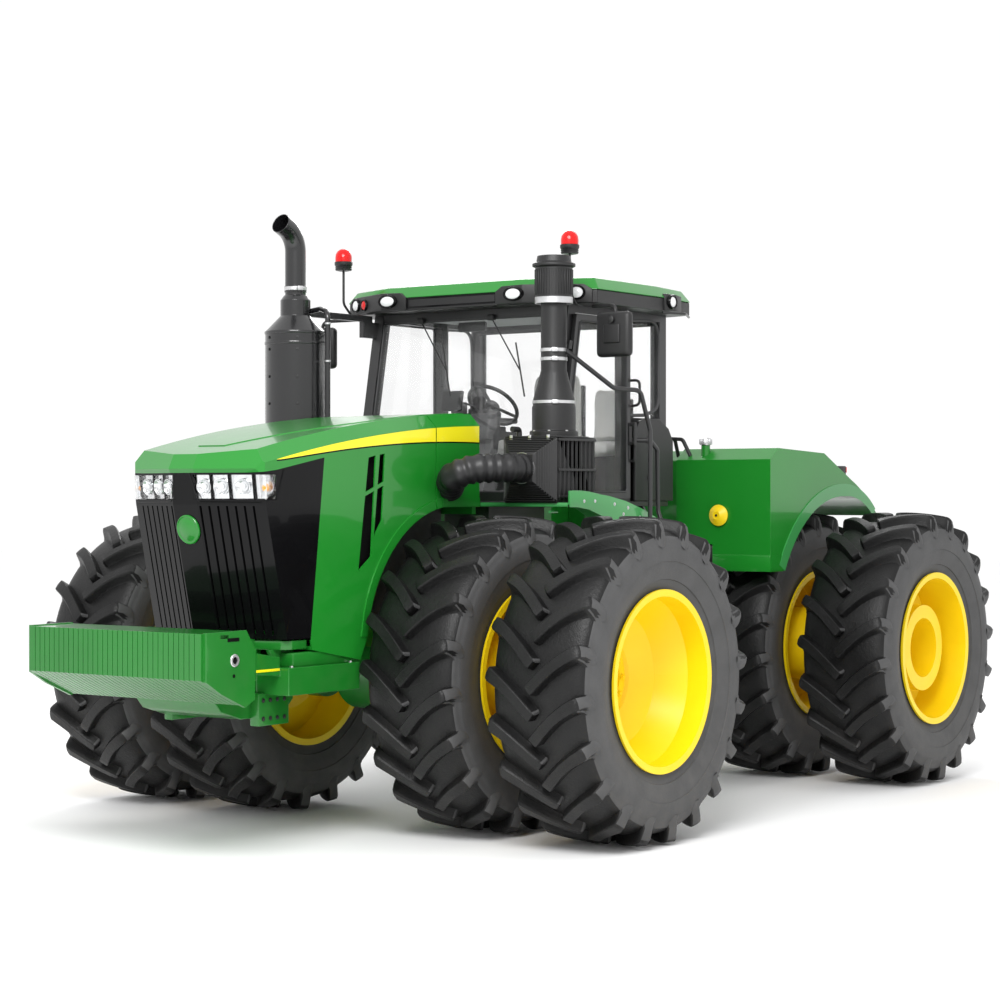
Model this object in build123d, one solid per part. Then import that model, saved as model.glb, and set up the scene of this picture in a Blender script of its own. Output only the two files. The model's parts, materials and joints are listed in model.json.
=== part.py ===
"""Articulated four-wheel-drive farm tractor on dual wheels.

The tractor faces -Y, its left side is +X and +Z is up.  Inside the functions, y is measured
back from the front axle and z up from the axle centres; place() moves each piece into the
shared frame, whose origin is on the ground in the middle of the machine's length.
"""
import os
from math import cos, pi, radians, sin, sqrt

from build123d import *

# ---- driving dimensions (mm) -------------------------------------------------------------
WHEELBASE = 3912
TYRE_RADIUS = 1030
TYRE_WIDTH = 710
BEAD_RADIUS = 545          # rim seat under the tyre's bead
INNER_TRACK = 946          # centre plane of the inner tyres
DUAL_SPACING = 984         # inner tyre to outer tyre
LUGS_PER_SIDE = 20
NOSE_REACH = 2540          # front axle to the face of the weights
WEIGHT_DEPTH = 425         # front to back of the weights
ENGINE_HALF = 320

RUN = 5.0                  # clearance between pieces that move past each other
SEAT = 0.3                 # gap between pieces that rest on one another across a joint
PIN_FIT = 0.08             # radial play of a pin in its bore

AXLE_TUBE_RADIUS = 175
AXLE_END = 600             # outer face of the final drives
SHAFT_RADIUS = 70
FRAME_INNER = 300          # inner face of the frame's side plates
FRAME_PLATE = 40
FRAME_TOP = 320
FRAME_TOP_REAR = 470
FRAME_LOW = -250
YOKE_REACH = 500           # hinge axis to the frame's end plates
YOKE_PLATE = 60
YOKE_RADIUS = 200
HINGE_PIN_RADIUS = 60
KNUCKLE_RADIUS = 130
NECK_HALF = 110

HOOD_WALL = 10
HOOD_NOSE_HALF = 545
HOOD_REAR_HALF = 575
HOOD_REAR_Y = 330
HOOD_SEAM_Y = -150         # hood hinge line; the cowl is behind it
HOOD_SEAM_GAP = 10
HOOD_SHOULDER = 80         # sloping band between the hood's top and sides
HOOD_FOOT_Z = 280          # lowest edge of the grille
HOOD_EDGE_Z = 1690         # outside of the hood's top at the seam
GRILLE_SLOT_START = 113
GRILLE_SLOT_STEP = 57.3
PROW_HALF = 100            # flat middle of the nose; beside it the front is swept back
PROW_SWEEP = 0.29          # back for each unit sideways

STRINGER_X = (1390, 1150)  # outer and inner edges of the ladder
RAIL_RADIUS = 16

DECK_TOP = TYRE_RADIUS + 80    # upper face of the decks over the front wheels
DECK_PLATE = 12
DECK_INNER = 585
DECK_OUTER = 1300
DECK_CHEEK_ENDS = (330, 1480)  # front and rear ends of the cheek along the deck's edge

CAB_FLOOR = DECK_TOP + 10  # upper face of the cab floor
FLOOR_PLATE = 40
CAB_HALF = 860             # outside of the cab's posts
POST = 80
CAB_FRONT = 700            # front edge of the cab floor
CAB_REAR = 2260
DOOR_HINGE_X = CAB_HALF + 20
ROOF_LOW = CAB_FLOOR + 1360    # underside of the roof
FASCIA_HEIGHT = 95
CAP_HEIGHT = 85
ROOF_HALF = 1100
GLASS = 8
GLASS_GAP = 1

TANK_FRONT = WHEELBASE - 1052  # front face of the fuel tanks
TANK_OUTER = 1400
TANK_INNER = 580
TANK_LOW = TYRE_RADIUS - 440
TANK_TOP = TYRE_RADIUS + 486
BRIDGE_FRONT = WHEELBASE - 812

CYLINDER_X = 350           # steering cylinder pins, sideways from the hinge
CYLINDER_PIN_Y = 400       # and lengthways, each side of the hinge
BARREL_RADIUS = 50
BARREL_END = 505
ROD_RADIUS = 25
ROD_START = 280
BORE_START = 62
EYE_RADIUS = 42
EYE_HEIGHT = 92
EAR_GAP = 10               # above and below an eye, so that the ears clear the barrel
EAR_PLATE = 25

PIVOT_Y = WHEELBASE / 2
OUTER_TRACK = INNER_TRACK + DUAL_SPACING
SHIFT_Y = (NOSE_REACH - WHEELBASE - TYRE_RADIUS) / 2
FRAME_SEAT = AXLE_TUBE_RADIUS + SEAT
PITCH = 2 * pi / LUGS_PER_SIDE

parts = {}


# ---- small makers ------------------------------------------------------------------------
def block(x0, x1, y0, y1, z0, z1):
    """A box between two corners."""
    size = Box(x1 - x0, y1 - y0, z1 - z0)
    return Pos((x0 + x1) / 2, (y0 + y1) / 2, (z0 + z1) / 2) * size


def side_profile(points, x0, x1):
    """A (y, z) outline pushed along X from x0 to x1."""
    face = Plane.YZ.offset(x0) * make_face(Polyline(*points, close=True))
    return extrude(face, amount=x1 - x0)


def plan_profile(points, z0, z1, taper=0):
    """An (x, y) outline pushed up from z0 to z1."""
    face = Plane.XY.offset(z0) * make_face(Polyline(*points, close=True))
    return extrude(face, amount=z1 - z0, taper=taper)


def round_bar(start, end, radius):
    """A round bar between two points."""
    axis = Vector(*end) - Vector(*start)
    return extrude(Plane(origin=start, z_dir=axis) * Circle(radius), amount=axis.length)


def bent_tube(points, bends, radius):
    """A round tube along straight runs joined by arcs."""
    path = FilletPolyline(*points, radius=bends)
    start = Plane(origin=path @ 0, z_dir=path % 0)
    return sweep(start * Circle(radius), path=path)


def across(radius, x0, x1, y=0, z=0, bore=0):
    """A cylinder or ring along X."""
    ring = Circle(radius) - Circle(bore) if bore else Circle(radius)
    return extrude(Plane(origin=(x0, y, z), z_dir=(1, 0, 0)) * ring, amount=x1 - x0)


def upright(radius, x, y, z0, z1, bore=0):
    """A cylinder or ring along Z."""
    ring = Circle(radius) - Circle(bore) if bore else Circle(radius)
    return extrude(Plane(origin=(x, y, z0), z_dir=(0, 0, 1)) * ring, amount=z1 - z0)


def turned(points, centre_x):
    """An (x, radius) outline turned about the axle."""
    face = make_face(Polyline(*[(x + centre_x, r) for x, r in points], close=True))
    return revolve(face, axis=Axis.X)


def both_sides(shape):
    """A shape with its mirror image across the middle plane."""
    return shape + mirror(shape, about=Plane.YZ)


def nose(back):
    """A distance behind the face of the weights, as a y."""
    return back - NOSE_REACH


A_POST_FOOT = (730, CAB_FLOOR)
A_POST_HEAD = (985, ROOF_LOW)
B_POST = (1690, 1770)


def a_post_y(z):
    """Front edge of the leaning front posts at height z."""
    (y0, z0), (y1, z1) = A_POST_FOOT, A_POST_HEAD
    return y0 + (y1 - y0) * (z - z0) / (z1 - z0)


# ---- wheels ------------------------------------------------------------------------------
# One pitch of half a tread: (name, sideways, radius, angle in pitches).  The lug starts at
# the centre line, leans back to the shoulder, and is half a pitch wide where it starts, so
# that the lugs of the two halves interlock.
LUG_SWEEP = 0.85
TREAD_PHASE = 0.1          # turns a lug's leading tip to the very bottom of the tyre
BASE_RADIUS = TYRE_RADIUS - 62
SHOULDER_X = TYRE_WIDTH / 2 - 30
SHOULDER_RADIUS = TYRE_RADIUS - 100
BEAD_CORNER = (BEAD_RADIUS + SEAT) / cos(PITCH / 2)
TREAD_POINTS = (
    ("centre_lead", 0, BASE_RADIUS, 0.0),
    ("centre_trail", 0, BASE_RADIUS, 0.5),
    ("shoulder_lead", SHOULDER_X, SHOULDER_RADIUS, LUG_SWEEP),
    ("shoulder_trail", SHOULDER_X, SHOULDER_RADIUS, LUG_SWEEP + 0.42),
    ("top_nose_lead", 14, TYRE_RADIUS, 0.1),
    ("top_nose_trail", 14, TYRE_RADIUS, 0.4),
    ("top_end_trail", SHOULDER_X - 16, TYRE_RADIUS - 14, LUG_SWEEP + 0.34),
    ("top_end_lead", SHOULDER_X - 16, TYRE_RADIUS - 14, LUG_SWEEP + 0.08),
    ("bulge", TYRE_WIDTH / 2, TYRE_RADIUS - 235, LUG_SWEEP + 0.2),
    ("bead", 290, BEAD_CORNER, LUG_SWEEP + 0.2),
)
# Faces of one pitch, as corners (name, pitches further round).
TREAD_FACES = (
    (("centre_lead", 0), ("centre_trail", 0), ("top_nose_trail", 0), ("top_nose_lead", 0)),
    (("top_nose_lead", 0), ("top_nose_trail", 0), ("top_end_trail", 0), ("top_end_lead", 0)),
    (("centre_lead", 0), ("top_nose_lead", 0), ("top_end_lead", 0), ("shoulder_lead", 0)),
    (("top_nose_trail", 0), ("centre_trail", 0), ("shoulder_trail", 0), ("top_end_trail", 0)),
    (("shoulder_lead", 0), ("top_end_lead", 0), ("top_end_trail", 0), ("shoulder_trail", 0)),
    (("centre_trail", 0), ("centre_lead", 1), ("shoulder_lead", 1), ("shoulder_trail", 0)),
    (("shoulder_lead", 0), ("shoulder_trail", 0), ("bulge", 0)),
    (("shoulder_trail", 0), ("bulge", 1), ("bulge", 0)),
    (("shoulder_trail", 0), ("shoulder_lead", 1), ("bulge", 1)),
    (("bulge", 0), ("bulge", 1), ("bead", 1), ("bead", 0)),
)


def tread_corner(name, step, side):
    """A named corner of the tread, on one side (+1 or -1) of the tyre."""
    x, radius, turn = {n: (u, r, a) for n, u, r, a in TREAD_POINTS}[name]
    angle = PITCH * (turn + step - TREAD_PHASE + (0 if side > 0 else 0.5))
    return (side * x, -radius * cos(angle), radius * sin(angle))


def flat_pieces(corners):
    """Triangles that fill a four-cornered patch, or the triangle itself."""
    if len(corners) == 3:
        return [corners]
    a, b, c, d = corners
    return [(a, b, c), (a, c, d)]


def lugged_tyre():
    """A tyre of flat facets with interlocking lugs, standing about the X axis."""
    faces = []
    for side in (1, -1):
        for step in range(LUGS_PER_SIDE):
            for outline in TREAD_FACES:
                corners = [tread_corner(n, step + k, side) for n, k in outline]
                for piece in flat_pieces(corners):
                    faces.append(Face(Wire.make_polygon(piece, close=True)))
            across_bead = [
                tread_corner("bead", step, side),
                tread_corner("bead", step + 1, side),
                tread_corner("bead", step + (0 if side > 0 else 1), -side),
            ]
            faces.append(Face(Wire.make_polygon(across_bead, close=True)))
    return Solid(Shell(faces))


# Rim sections about each wheel's centre plane, as (x, radius).
RIM_HALF = 318
FLANGE_RADIUS = 575
RIM_WALL = 14
DISC_X = -120              # a wheel disc's inner face, from the rim's centre plane
DISC_WALL = 22
DRUM_RADIUS = 285          # drum that carries the outer wheel
DRUM_WALL = 20
HUB_RADIUS = 200
DISH_X = -155              # inner face of a front outer wheel's deep dish
CAP_RADIUS = 325           # raised drum in a rear outer wheel
CAP_BORE = 225
CAP_X = 210
RIM_SECTION = (
    (-RIM_HALF, FLANGE_RADIUS),
    (-RIM_HALF + 16, FLANGE_RADIUS),
    (-RIM_HALF + 18, BEAD_RADIUS),
    (RIM_HALF - 18, BEAD_RADIUS),
    (RIM_HALF - 16, FLANGE_RADIUS),
    (RIM_HALF, FLANGE_RADIUS),
    (RIM_HALF - 4, BEAD_RADIUS - RIM_WALL),
    (-RIM_HALF + 4, BEAD_RADIUS - RIM_WALL),
)
DISC_SECTION = (
    (DISC_X, 0),
    (DISC_X, DRUM_RADIUS + 40),
    (DISC_X + 90, BEAD_RADIUS - 4),
    (DISC_X + 90 + DISC_WALL, BEAD_RADIUS - 4),
    (DISC_X + DISC_WALL, DRUM_RADIUS + 40),
    (DISC_X + DISC_WALL, 0),
)
# A deep dish: a long cone, a crease, and a steeper cone down to a flat centre.
DISH_SECTION = (
    (DISH_X, 0),
    (DISH_X, 270),
    (-48, 440),
    (158, BEAD_RADIUS - 4),
    (182, BEAD_RADIUS - 4),
    (-22, 420),
    (DISH_X + 45, 256),
    (DISH_X + 25, 240),
    (DISH_X + 25, 0),
)


def dual_rims(outer_section, outer_face):
    """The left pair of rims with their hub and the drum between them."""
    inner_disc = INNER_TRACK + DISC_X
    outer_disc = OUTER_TRACK + outer_face
    rims = across(HUB_RADIUS, AXLE_END + RUN, inner_disc, bore=SHAFT_RADIUS + PIN_FIT)
    rims += turned(RIM_SECTION, INNER_TRACK) + turned(DISC_SECTION, INNER_TRACK)
    rims += turned(RIM_SECTION, OUTER_TRACK) + turned(outer_section, OUTER_TRACK)
    rims += across(DRUM_RADIUS, inner_disc + DISC_WALL, outer_disc, bore=DRUM_RADIUS - DRUM_WALL)
    return rims


def wheels():
    tyre = lugged_tyre()
    pair = Pos(INNER_TRACK, 0, 0) * tyre + Pos(OUTER_TRACK, 0, 0) * tyre
    front_rims = dual_rims(DISH_SECTION, DISH_X)
    front_rims += across(HUB_RADIUS, OUTER_TRACK + DISH_X + 25, OUTER_TRACK + DISH_X + 45,
                         bore=HUB_RADIUS - 50)
    rear_rims = dual_rims(DISC_SECTION, DISC_X)
    rear_rims += across(CAP_RADIUS, OUTER_TRACK + DISC_X, OUTER_TRACK + CAP_X, bore=CAP_BORE)
    for end, y, rims in (("front", 0, front_rims), ("rear", WHEELBASE, rear_rims)):
        parts[f"tyres_{end}_left"] = Pos(0, y, 0) * pair
        parts[f"rims_{end}_left"] = Pos(0, y, 0) * rims
        parts[f"tyres_{end}_right"] = Pos(0, y, 0) * mirror(pair, about=Plane.YZ)
        parts[f"rims_{end}_right"] = Pos(0, y, 0) * mirror(rims, about=Plane.YZ)


# ---- chassis -----------------------------------------------------------------------------
def axle(nose_direction):
    """An axle with its differential, final drives and stub shafts."""
    tube = across(AXLE_TUBE_RADIUS, -AXLE_END, AXLE_END)
    bowl = across(290, -190, 190) & block(-190, 190, -290, 290, -290, AXLE_TUBE_RADIUS)
    drives = both_sides(across(230, AXLE_END - 120, AXLE_END))
    shafts = both_sides(across(SHAFT_RADIUS, AXLE_END, AXLE_END + 100))
    nose = round_bar((0, 0, -60), (0, nose_direction * 540, -60), 85)
    return tube + bowl + drives + shafts + nose


def frame_plates(outline):
    plate = side_profile(outline, FRAME_INNER, FRAME_INNER + FRAME_PLATE)
    return both_sides(plate)


def crossmember(y0, y1, z0, z1):
    return block(-FRAME_INNER, FRAME_INNER, y0, y1, z0, z1)


def cylinder_ears(direction):
    """Two pairs of ears that hold the steering cylinders' pins on one frame half."""
    pin_y = PIVOT_Y + direction * CYLINDER_PIN_Y
    wall_y = PIVOT_Y + direction * YOKE_REACH
    ears = None
    gap = EYE_HEIGHT / 2 + EAR_GAP
    for low in (-gap - EAR_PLATE, gap):
        ear = block(CYLINDER_X - 50, CYLINDER_X + 50, min(pin_y, wall_y), max(pin_y, wall_y),
                    low, low + EAR_PLATE)
        ear += upright(50, CYLINDER_X, pin_y, low, low + EAR_PLATE)
        ears = ear if ears is None else ears + ear
    # a gusset joins the ears to the side plate's line behind the eye
    wall = block(FRAME_INNER, CYLINDER_X + 50, min(wall_y, wall_y + direction * 40),
                 max(wall_y, wall_y + direction * 40), -100, 100)
    return both_sides(ears + wall)


def front_frame():
    end = PIVOT_Y - YOKE_REACH
    front = nose(1040)
    outline = ((front, FRAME_SEAT), (front, FRAME_TOP), (700, FRAME_TOP), (800, FRAME_TOP_REAR),
               (end, FRAME_TOP_REAR), (end, FRAME_LOW), (560, FRAME_LOW), (380, FRAME_SEAT))
    frame = frame_plates(outline)
    frame += crossmember(front, front + 60, FRAME_SEAT, FRAME_TOP)
    frame += crossmember(-250, 250, FRAME_SEAT, FRAME_SEAT + 40)
    frame += crossmember(560, 600, FRAME_LOW, FRAME_TOP)
    frame += crossmember(600, end - 60, FRAME_LOW, FRAME_LOW + 15)
    frame += crossmember(end - 60, end, FRAME_LOW, FRAME_TOP_REAR)
    for low in (FRAME_LOW, FRAME_TOP_REAR - YOKE_PLATE):
        plate = block(-YOKE_RADIUS, YOKE_RADIUS, end, PIVOT_Y, low, low + YOKE_PLATE)
        plate += upright(YOKE_RADIUS, 0, PIVOT_Y, low, low + YOKE_PLATE)
        frame += plate - upright(HINGE_PIN_RADIUS + PIN_FIT, 0, PIVOT_Y, low, low + YOKE_PLATE)
    pin_end = EYE_HEIGHT / 2 + EAR_GAP + EAR_PLATE + 10
    pins = both_sides(upright(ROD_RADIUS, CYLINDER_X, PIVOT_Y - CYLINDER_PIN_Y, -pin_end, pin_end))
    return frame + cylinder_ears(-1) + pins


def rear_frame():
    start = PIVOT_Y + YOKE_REACH
    end = WHEELBASE + 620
    outline = ((start, FRAME_LOW), (WHEELBASE - 380, FRAME_LOW), (WHEELBASE - 260, FRAME_SEAT),
               (WHEELBASE + 260, FRAME_SEAT), (WHEELBASE + 380, FRAME_LOW + 80),
               (end, FRAME_LOW + 80), (end, FRAME_TOP_REAR), (start, FRAME_TOP_REAR))
    frame = frame_plates(outline)
    frame += crossmember(start, start + 60, FRAME_LOW, FRAME_TOP_REAR)
    frame += crossmember(WHEELBASE - 250, WHEELBASE + 250, FRAME_SEAT, FRAME_SEAT + 40)
    frame += crossmember(end - 40, end, FRAME_LOW + 80, FRAME_TOP_REAR)
    low = FRAME_LOW + YOKE_PLATE + RUN
    high = FRAME_TOP_REAR - YOKE_PLATE - RUN
    frame += block(-NECK_HALF, NECK_HALF, PIVOT_Y, start, low, high)
    frame += upright(KNUCKLE_RADIUS, 0, PIVOT_Y, low, high)
    frame += upright(HINGE_PIN_RADIUS, 0, PIVOT_Y, FRAME_LOW, FRAME_TOP_REAR)
    caps = None
    ear_face = EYE_HEIGHT / 2 + EAR_GAP + EAR_PLATE
    for z in (-ear_face - 20, ear_face):
        cap = upright(ROD_RADIUS, CYLINDER_X, PIVOT_Y + CYLINDER_PIN_Y, z, z + 20)
        caps = cap if caps is None else caps + cap
    return frame + cylinder_ears(1) + both_sides(caps)


def chassis():
    parts["front_frame"] = front_frame()
    parts["rear_frame"] = rear_frame()
    parts["front_axle"] = axle(1)
    parts["rear_axle"] = Pos(0, WHEELBASE, 0) * axle(-1)
    parts["engine_block"] = block(-ENGINE_HALF, ENGINE_HALF, nose(1340), 240, FRAME_TOP, 1180)
    parts["radiator"] = block(-430, 430, nose(1100), nose(1250), FRAME_TOP, 1240)


def steering_cylinders():
    """Barrel and rod of each cylinder; the rod's eye lies between the rear ears."""
    pin_y = PIVOT_Y - CYLINDER_PIN_Y
    eye_y = PIVOT_Y + CYLINDER_PIN_Y
    barrel = round_bar((CYLINDER_X, pin_y + 60, 0), (CYLINDER_X, pin_y + BARREL_END, 0),
                       BARREL_RADIUS)
    barrel += round_bar((CYLINDER_X, pin_y + 30, 0), (CYLINDER_X, pin_y + 60, 0), EYE_RADIUS - 4)
    barrel += upright(EYE_RADIUS, CYLINDER_X, pin_y, -EYE_HEIGHT / 2, EYE_HEIGHT / 2)
    barrel -= upright(ROD_RADIUS + PIN_FIT, CYLINDER_X, pin_y, -EYE_HEIGHT, EYE_HEIGHT)
    barrel -= round_bar((CYLINDER_X, pin_y + BORE_START, 0),
                        (CYLINDER_X, pin_y + BARREL_END, 0), ROD_RADIUS + PIN_FIT)
    rod = round_bar((CYLINDER_X, pin_y + ROD_START, 0), (CYLINDER_X, eye_y, 0), ROD_RADIUS)
    rod += upright(EYE_RADIUS, CYLINDER_X, eye_y, -EYE_HEIGHT / 2, EYE_HEIGHT / 2)
    for name, shape in (("steering_barrel", barrel), ("steering_rod", rod)):
        parts[name + "_left"] = shape
        parts[name + "_right"] = mirror(shape, about=Plane.YZ)


# ---- nose --------------------------------------------------------------------------------
def weights_and_bracket():
    profile = ((nose(0), 365), (nose(0), 95), (nose(140), 25), (nose(350), -70),
               (nose(WEIGHT_DEPTH), -35), (nose(WEIGHT_DEPTH), 250), (nose(360), 365))
    weights = side_profile(profile, -710, 710)
    count = 34
    for i in range(1, count):
        x = -700 + 1400 * i / count
        groove = side_profile(((nose(-5), 380), (nose(-5), 90), (nose(135), 17),
                               (nose(355), -85), (nose(355), -60), (nose(144), 38),
                               (nose(12), 102), (nose(12), 380)), x - 2, x + 2)
        weights -= groove
    cheek = ((nose(20), 370), (nose(20), 85), (nose(145), 10), (nose(350), -80),
             (nose(435), -40), (nose(435), 262), (nose(360), 372))
    cheek_plate = side_profile(cheek, 710, 735) - block(700, 740, nose(140), nose(210), 330, 350)
    weights += both_sides(cheek_plate)
    parts["front_weights"] = weights

    hang_front, hang_back, grille_foot = nose(WEIGHT_DEPTH), nose(555), nose(900)
    hanger = side_profile(((hang_front, 250), (hang_front, 60), (hang_back, 60),
                           (hang_back, 250)), -640, 640)
    arm = side_profile(((hang_back, 230), (hang_back, 90), (grille_foot, 60),
                        (grille_foot, 175)), 440, 520)
    block_arm = block(330, 590, grille_foot, nose(1580), -60, 110)
    cradle = side_profile(((hang_back, 60), (nose(480), -40), (nose(580), -150),
                           (nose(760), -205), (nose(1140), -205), (nose(1240), -110),
                           (nose(1290), 110), (grille_foot, 175), (hang_back, 175)), -330, 330)
    rest = block(-330, 330, nose(780), nose(940), 110, HOOD_FOOT_Z - SEAT)
    bridge = block(-330, 330, nose(1040), nose(1580), 20, 110)
    saddle = block(-FRAME_INNER, FRAME_INNER, nose(1040), nose(1290), 110, FRAME_SEAT)
    parts["weight_bracket"] = (hanger + both_sides(arm + block_arm) + cradle + rest + bridge
                               + saddle)


# The nose's middle, from its foot to the front edge of the hood's top.
NOSE_LINE = ((nose(800), HOOD_FOOT_Z), (nose(615), 1104), (nose(590), 1297), (nose(575), 1322),
             (nose(620), 1412))


def hood_outline():
    """Side view of the hood and cowl together."""
    front = Polyline((nose(1140), HOOD_FOOT_Z), *NOSE_LINE)
    top = ThreePointArc(NOSE_LINE[-1], (-700, 1635), (HOOD_REAR_Y, 1712))
    back = Polyline((HOOD_REAR_Y, 1712), (HOOD_REAR_Y, 1085), (-90, 1080))
    arch = ThreePointArc((-90, 1080), (-560, 860), (-870, 240))
    foot = Polyline((-870, 240), (-930, 120), (nose(1160), 205), (nose(1140), HOOD_FOOT_Z))
    return make_face(Curve() + [front, top, back, arch, foot])


def prow(inset):
    """Everything behind the nose's front faces: a flat middle and two swept sides."""
    back = 1.065 * inset
    line = [(y + back, z) for y, z in NOSE_LINE]
    (lip_y, lip_z), (top_y, top_z) = line[-2:]
    high = 1900
    high_y = lip_y + (top_y - lip_y) * (high - lip_z) / (top_z - lip_z)
    outline = [(line[0][0], 0), *line, (high_y, high), (900, high), (900, 0)]
    face = Plane.YZ.offset(PROW_HALF) * make_face(Polyline(*outline, close=True))
    side = extrude(face, amount=600, dir=(1, PROW_SWEEP, 0))
    return side_profile(outline, -PROW_HALF, PROW_HALF) + both_sides(side)


def hood_form(inset):
    """Outside of the hood, or its inside when inset is the wall."""
    outline = hood_outline()
    if inset:
        outline = offset(outline, amount=-inset)
    form = extrude(Plane.YZ.offset(-700) * outline, amount=1400)
    if inset:
        form += Pos(0, 14, -60) * form + Pos(0, 60, -60) * form
        form += block(-430, 430, nose(830), -700, 100, 500)
    corner = 75 - inset / 2
    tip, rear = HOOD_NOSE_HALF - inset, HOOD_REAR_HALF - inset
    front_y, back_y = nose(660) + inset, HOOD_REAR_Y + 80
    plan = [(PROW_HALF, front_y - 160), (tip - corner, front_y), (tip, front_y + corner),
            (rear, -700), (rear, back_y)]
    plan = plan + [(-x, y) for x, y in reversed(plan)]
    form = (form & plan_profile(plan, 0, 1900)) & prow(inset)
    edges = [e for e in form.edges()
             if e.bounding_box().min.Z > 1350 - inset and abs(e.center().X) > 300
             and e.bounding_box().size.Y > e.bounding_box().size.X + 150]
    return chamfer(edges, HOOD_SHOULDER - (2 - sqrt(2)) * inset)


def hood_parts():
    outer = hood_form(0)
    shell = outer - hood_form(HOOD_WALL)
    half_gap = HOOD_SEAM_GAP / 2
    hood_side = block(-800, 800, -2000, HOOD_SEAM_Y - half_gap, 0, 2000)
    cowl_side = block(-800, 800, HOOD_SEAM_Y + half_gap, HOOD_REAR_Y + 100, 0, 2000)

    # black nose panel: the grille and the panels that wrap onto the sides
    nose_zone = side_profile(((nose(500), 150), (nose(1130), 150), (nose(1270), 1395),
                              (nose(840), 1315), (nose(685), 1297), (nose(500), 1297)), -800, 800)
    grille = shell & nose_zone
    lamp_box = block(75, 700, nose(500), nose(840), 1135, 1285)
    lamp_zone = both_sides(lamp_box)
    lamps = (outer - hood_form(3 * HOOD_WALL)) & nose_zone & lamp_zone
    grille -= lamp_zone
    slots = None
    for i in range(7):
        x = GRILLE_SLOT_START + GRILLE_SLOT_STEP * i
        slot = block(x, x + 14, nose(500), nose(980), 310, 1095)
        slots = slot if slots is None else slots + slot
    grille -= both_sides(slots)
    parts["grille"] = grille
    parts["headlamps"] = lamps

    hood = (shell & hood_side) - nose_zone
    # two side openings with a slanting bar across them
    louvres = side_profile(((nose(1590), 680), (nose(1690), 1400), (nose(1760), 1415),
                            (nose(1715), 770)), -800, 800)
    louvres += side_profile(((nose(1740), 890), (nose(1800), 1420), (nose(1850), 1428),
                             (nose(1820), 1000)), -800, 800)
    bar = side_profile(((nose(1560), 1118), (nose(1900), 1248), (nose(1900), 1272),
                        (nose(1560), 1142)), -810, 810)
    hood -= louvres - bar
    parts["hood"] = hood

    cowl = shell & cowl_side
    # hinge rolls on the cowl's front edge, at the hood's turning axis
    for x in (-330, 230):
        roll = across(4.6, x, x + 100, HOOD_SEAM_Y, HOOD_EDGE_Z - 5)
        tab = block(x, x + 100, HOOD_SEAM_Y, HOOD_SEAM_Y + half_gap, HOOD_EDGE_Z - 9,
                    HOOD_EDGE_Z - 1)
        cowl += roll + tab
    # bulkhead that carries the cowl, standing on the frame
    bulkhead = hood_form(HOOD_WALL) & block(-800, 800, 260, 300, 0, 2000)
    cowl += bulkhead + block(-FRAME_INNER, FRAME_INNER, 260, 300, FRAME_TOP, 1200)
    parts["cowl"] = cowl


# ---- exhaust and intake ------------------------------------------------------------------
EXHAUST_X = -840
EXHAUST_Y = 70
CANISTER_RADIUS = 213
CANISTER_FOOT = DECK_TOP + 70
NECK_RADIUS = 106
PIPE_RADIUS = 73


def exhaust():
    def level(rise):
        return Plane.XY.offset(DECK_TOP + rise)

    can = RegularPolygon(CANISTER_RADIUS, 18)
    stack = extrude(Plane.XY.offset(CANISTER_FOOT) * can, amount=DECK_TOP + 1108 - CANISTER_FOOT)
    stack += extrude(level(1108) * RegularPolygon(CANISTER_RADIUS - 12, 18), amount=8)
    stack += extrude(level(1116) * can, amount=84)
    neck = RegularPolygon(NECK_RADIUS, 18)
    stack += loft([level(1200) * can, level(1310) * neck], ruled=True)
    stack += extrude(level(1310) * neck, amount=110)
    stack += loft([level(1420) * neck, level(1455) * RegularPolygon(80, 18)], ruled=True)
    bend, lean, foot_z, bend_z = 180, radians(65), DECK_TOP + 1455, DECK_TOP + 1760
    end_y, end_z = -bend * (1 - cos(lean)), bend_z + bend * sin(lean)
    path = Polyline((0, 0, foot_z), (0, 0, bend_z))
    path += CenterArc((0, 0, 0), bend, 0, 65).moved(
        Location(Plane(origin=(0, -bend, bend_z), x_dir=(0, 1, 0), z_dir=(1, 0, 0))))
    path += Line((0, end_y, end_z), (0, end_y - 60 * sin(lean), end_z + 60 * cos(lean)))
    ring = Circle(PIPE_RADIUS) - Circle(PIPE_RADIUS - 5)
    stack += sweep(Plane.XY.offset(foot_z) * ring, path=path)
    stack += upright(PIPE_RADIUS + 5, 0, 0, foot_z + 20, foot_z + 65, bore=PIPE_RADIUS - 5)
    parts["exhaust_stack"] = Pos(EXHAUST_X, EXHAUST_Y, 0) * stack

    # shelf under the canister and the arm that ties its neck to the cab post
    shelf = block(EXHAUST_X - 180, EXHAUST_X + 180, EXHAUST_Y - 180, 500, DECK_TOP, DECK_TOP + 12)
    foot = upright(150, EXHAUST_X, EXHAUST_Y, DECK_TOP + 12, CANISTER_FOOT)
    neck_flat = EXHAUST_Y + NECK_RADIUS * cos(pi / 18)
    arm_low, arm_high, plate_low = DECK_TOP + 1315, DECK_TOP + 1360, DECK_TOP + 1200
    arm = block(EXHAUST_X - 20, EXHAUST_X + 20, neck_flat, 905, arm_low, arm_high)
    plate = side_profile(((800, plate_low), (a_post_y(plate_low), plate_low),
                          (a_post_y(arm_low), arm_low), (800, arm_low)),
                         min(-CAB_HALF, EXHAUST_X - 20), max(-CAB_HALF + 14, EXHAUST_X + 20))
    parts["exhaust_bracket"] = shelf + foot + arm + plate


BOX_X = (800, 1220)
BOX_Y = (310, 770)
BOX_TOP = DECK_TOP + 440
MOUTH = (1000, 220, DECK_TOP + 230)    # where the hose joins the front of the air cleaner
STACK_X, STACK_Y = 1000, 600
HOSE_RADIUS = 92


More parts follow.
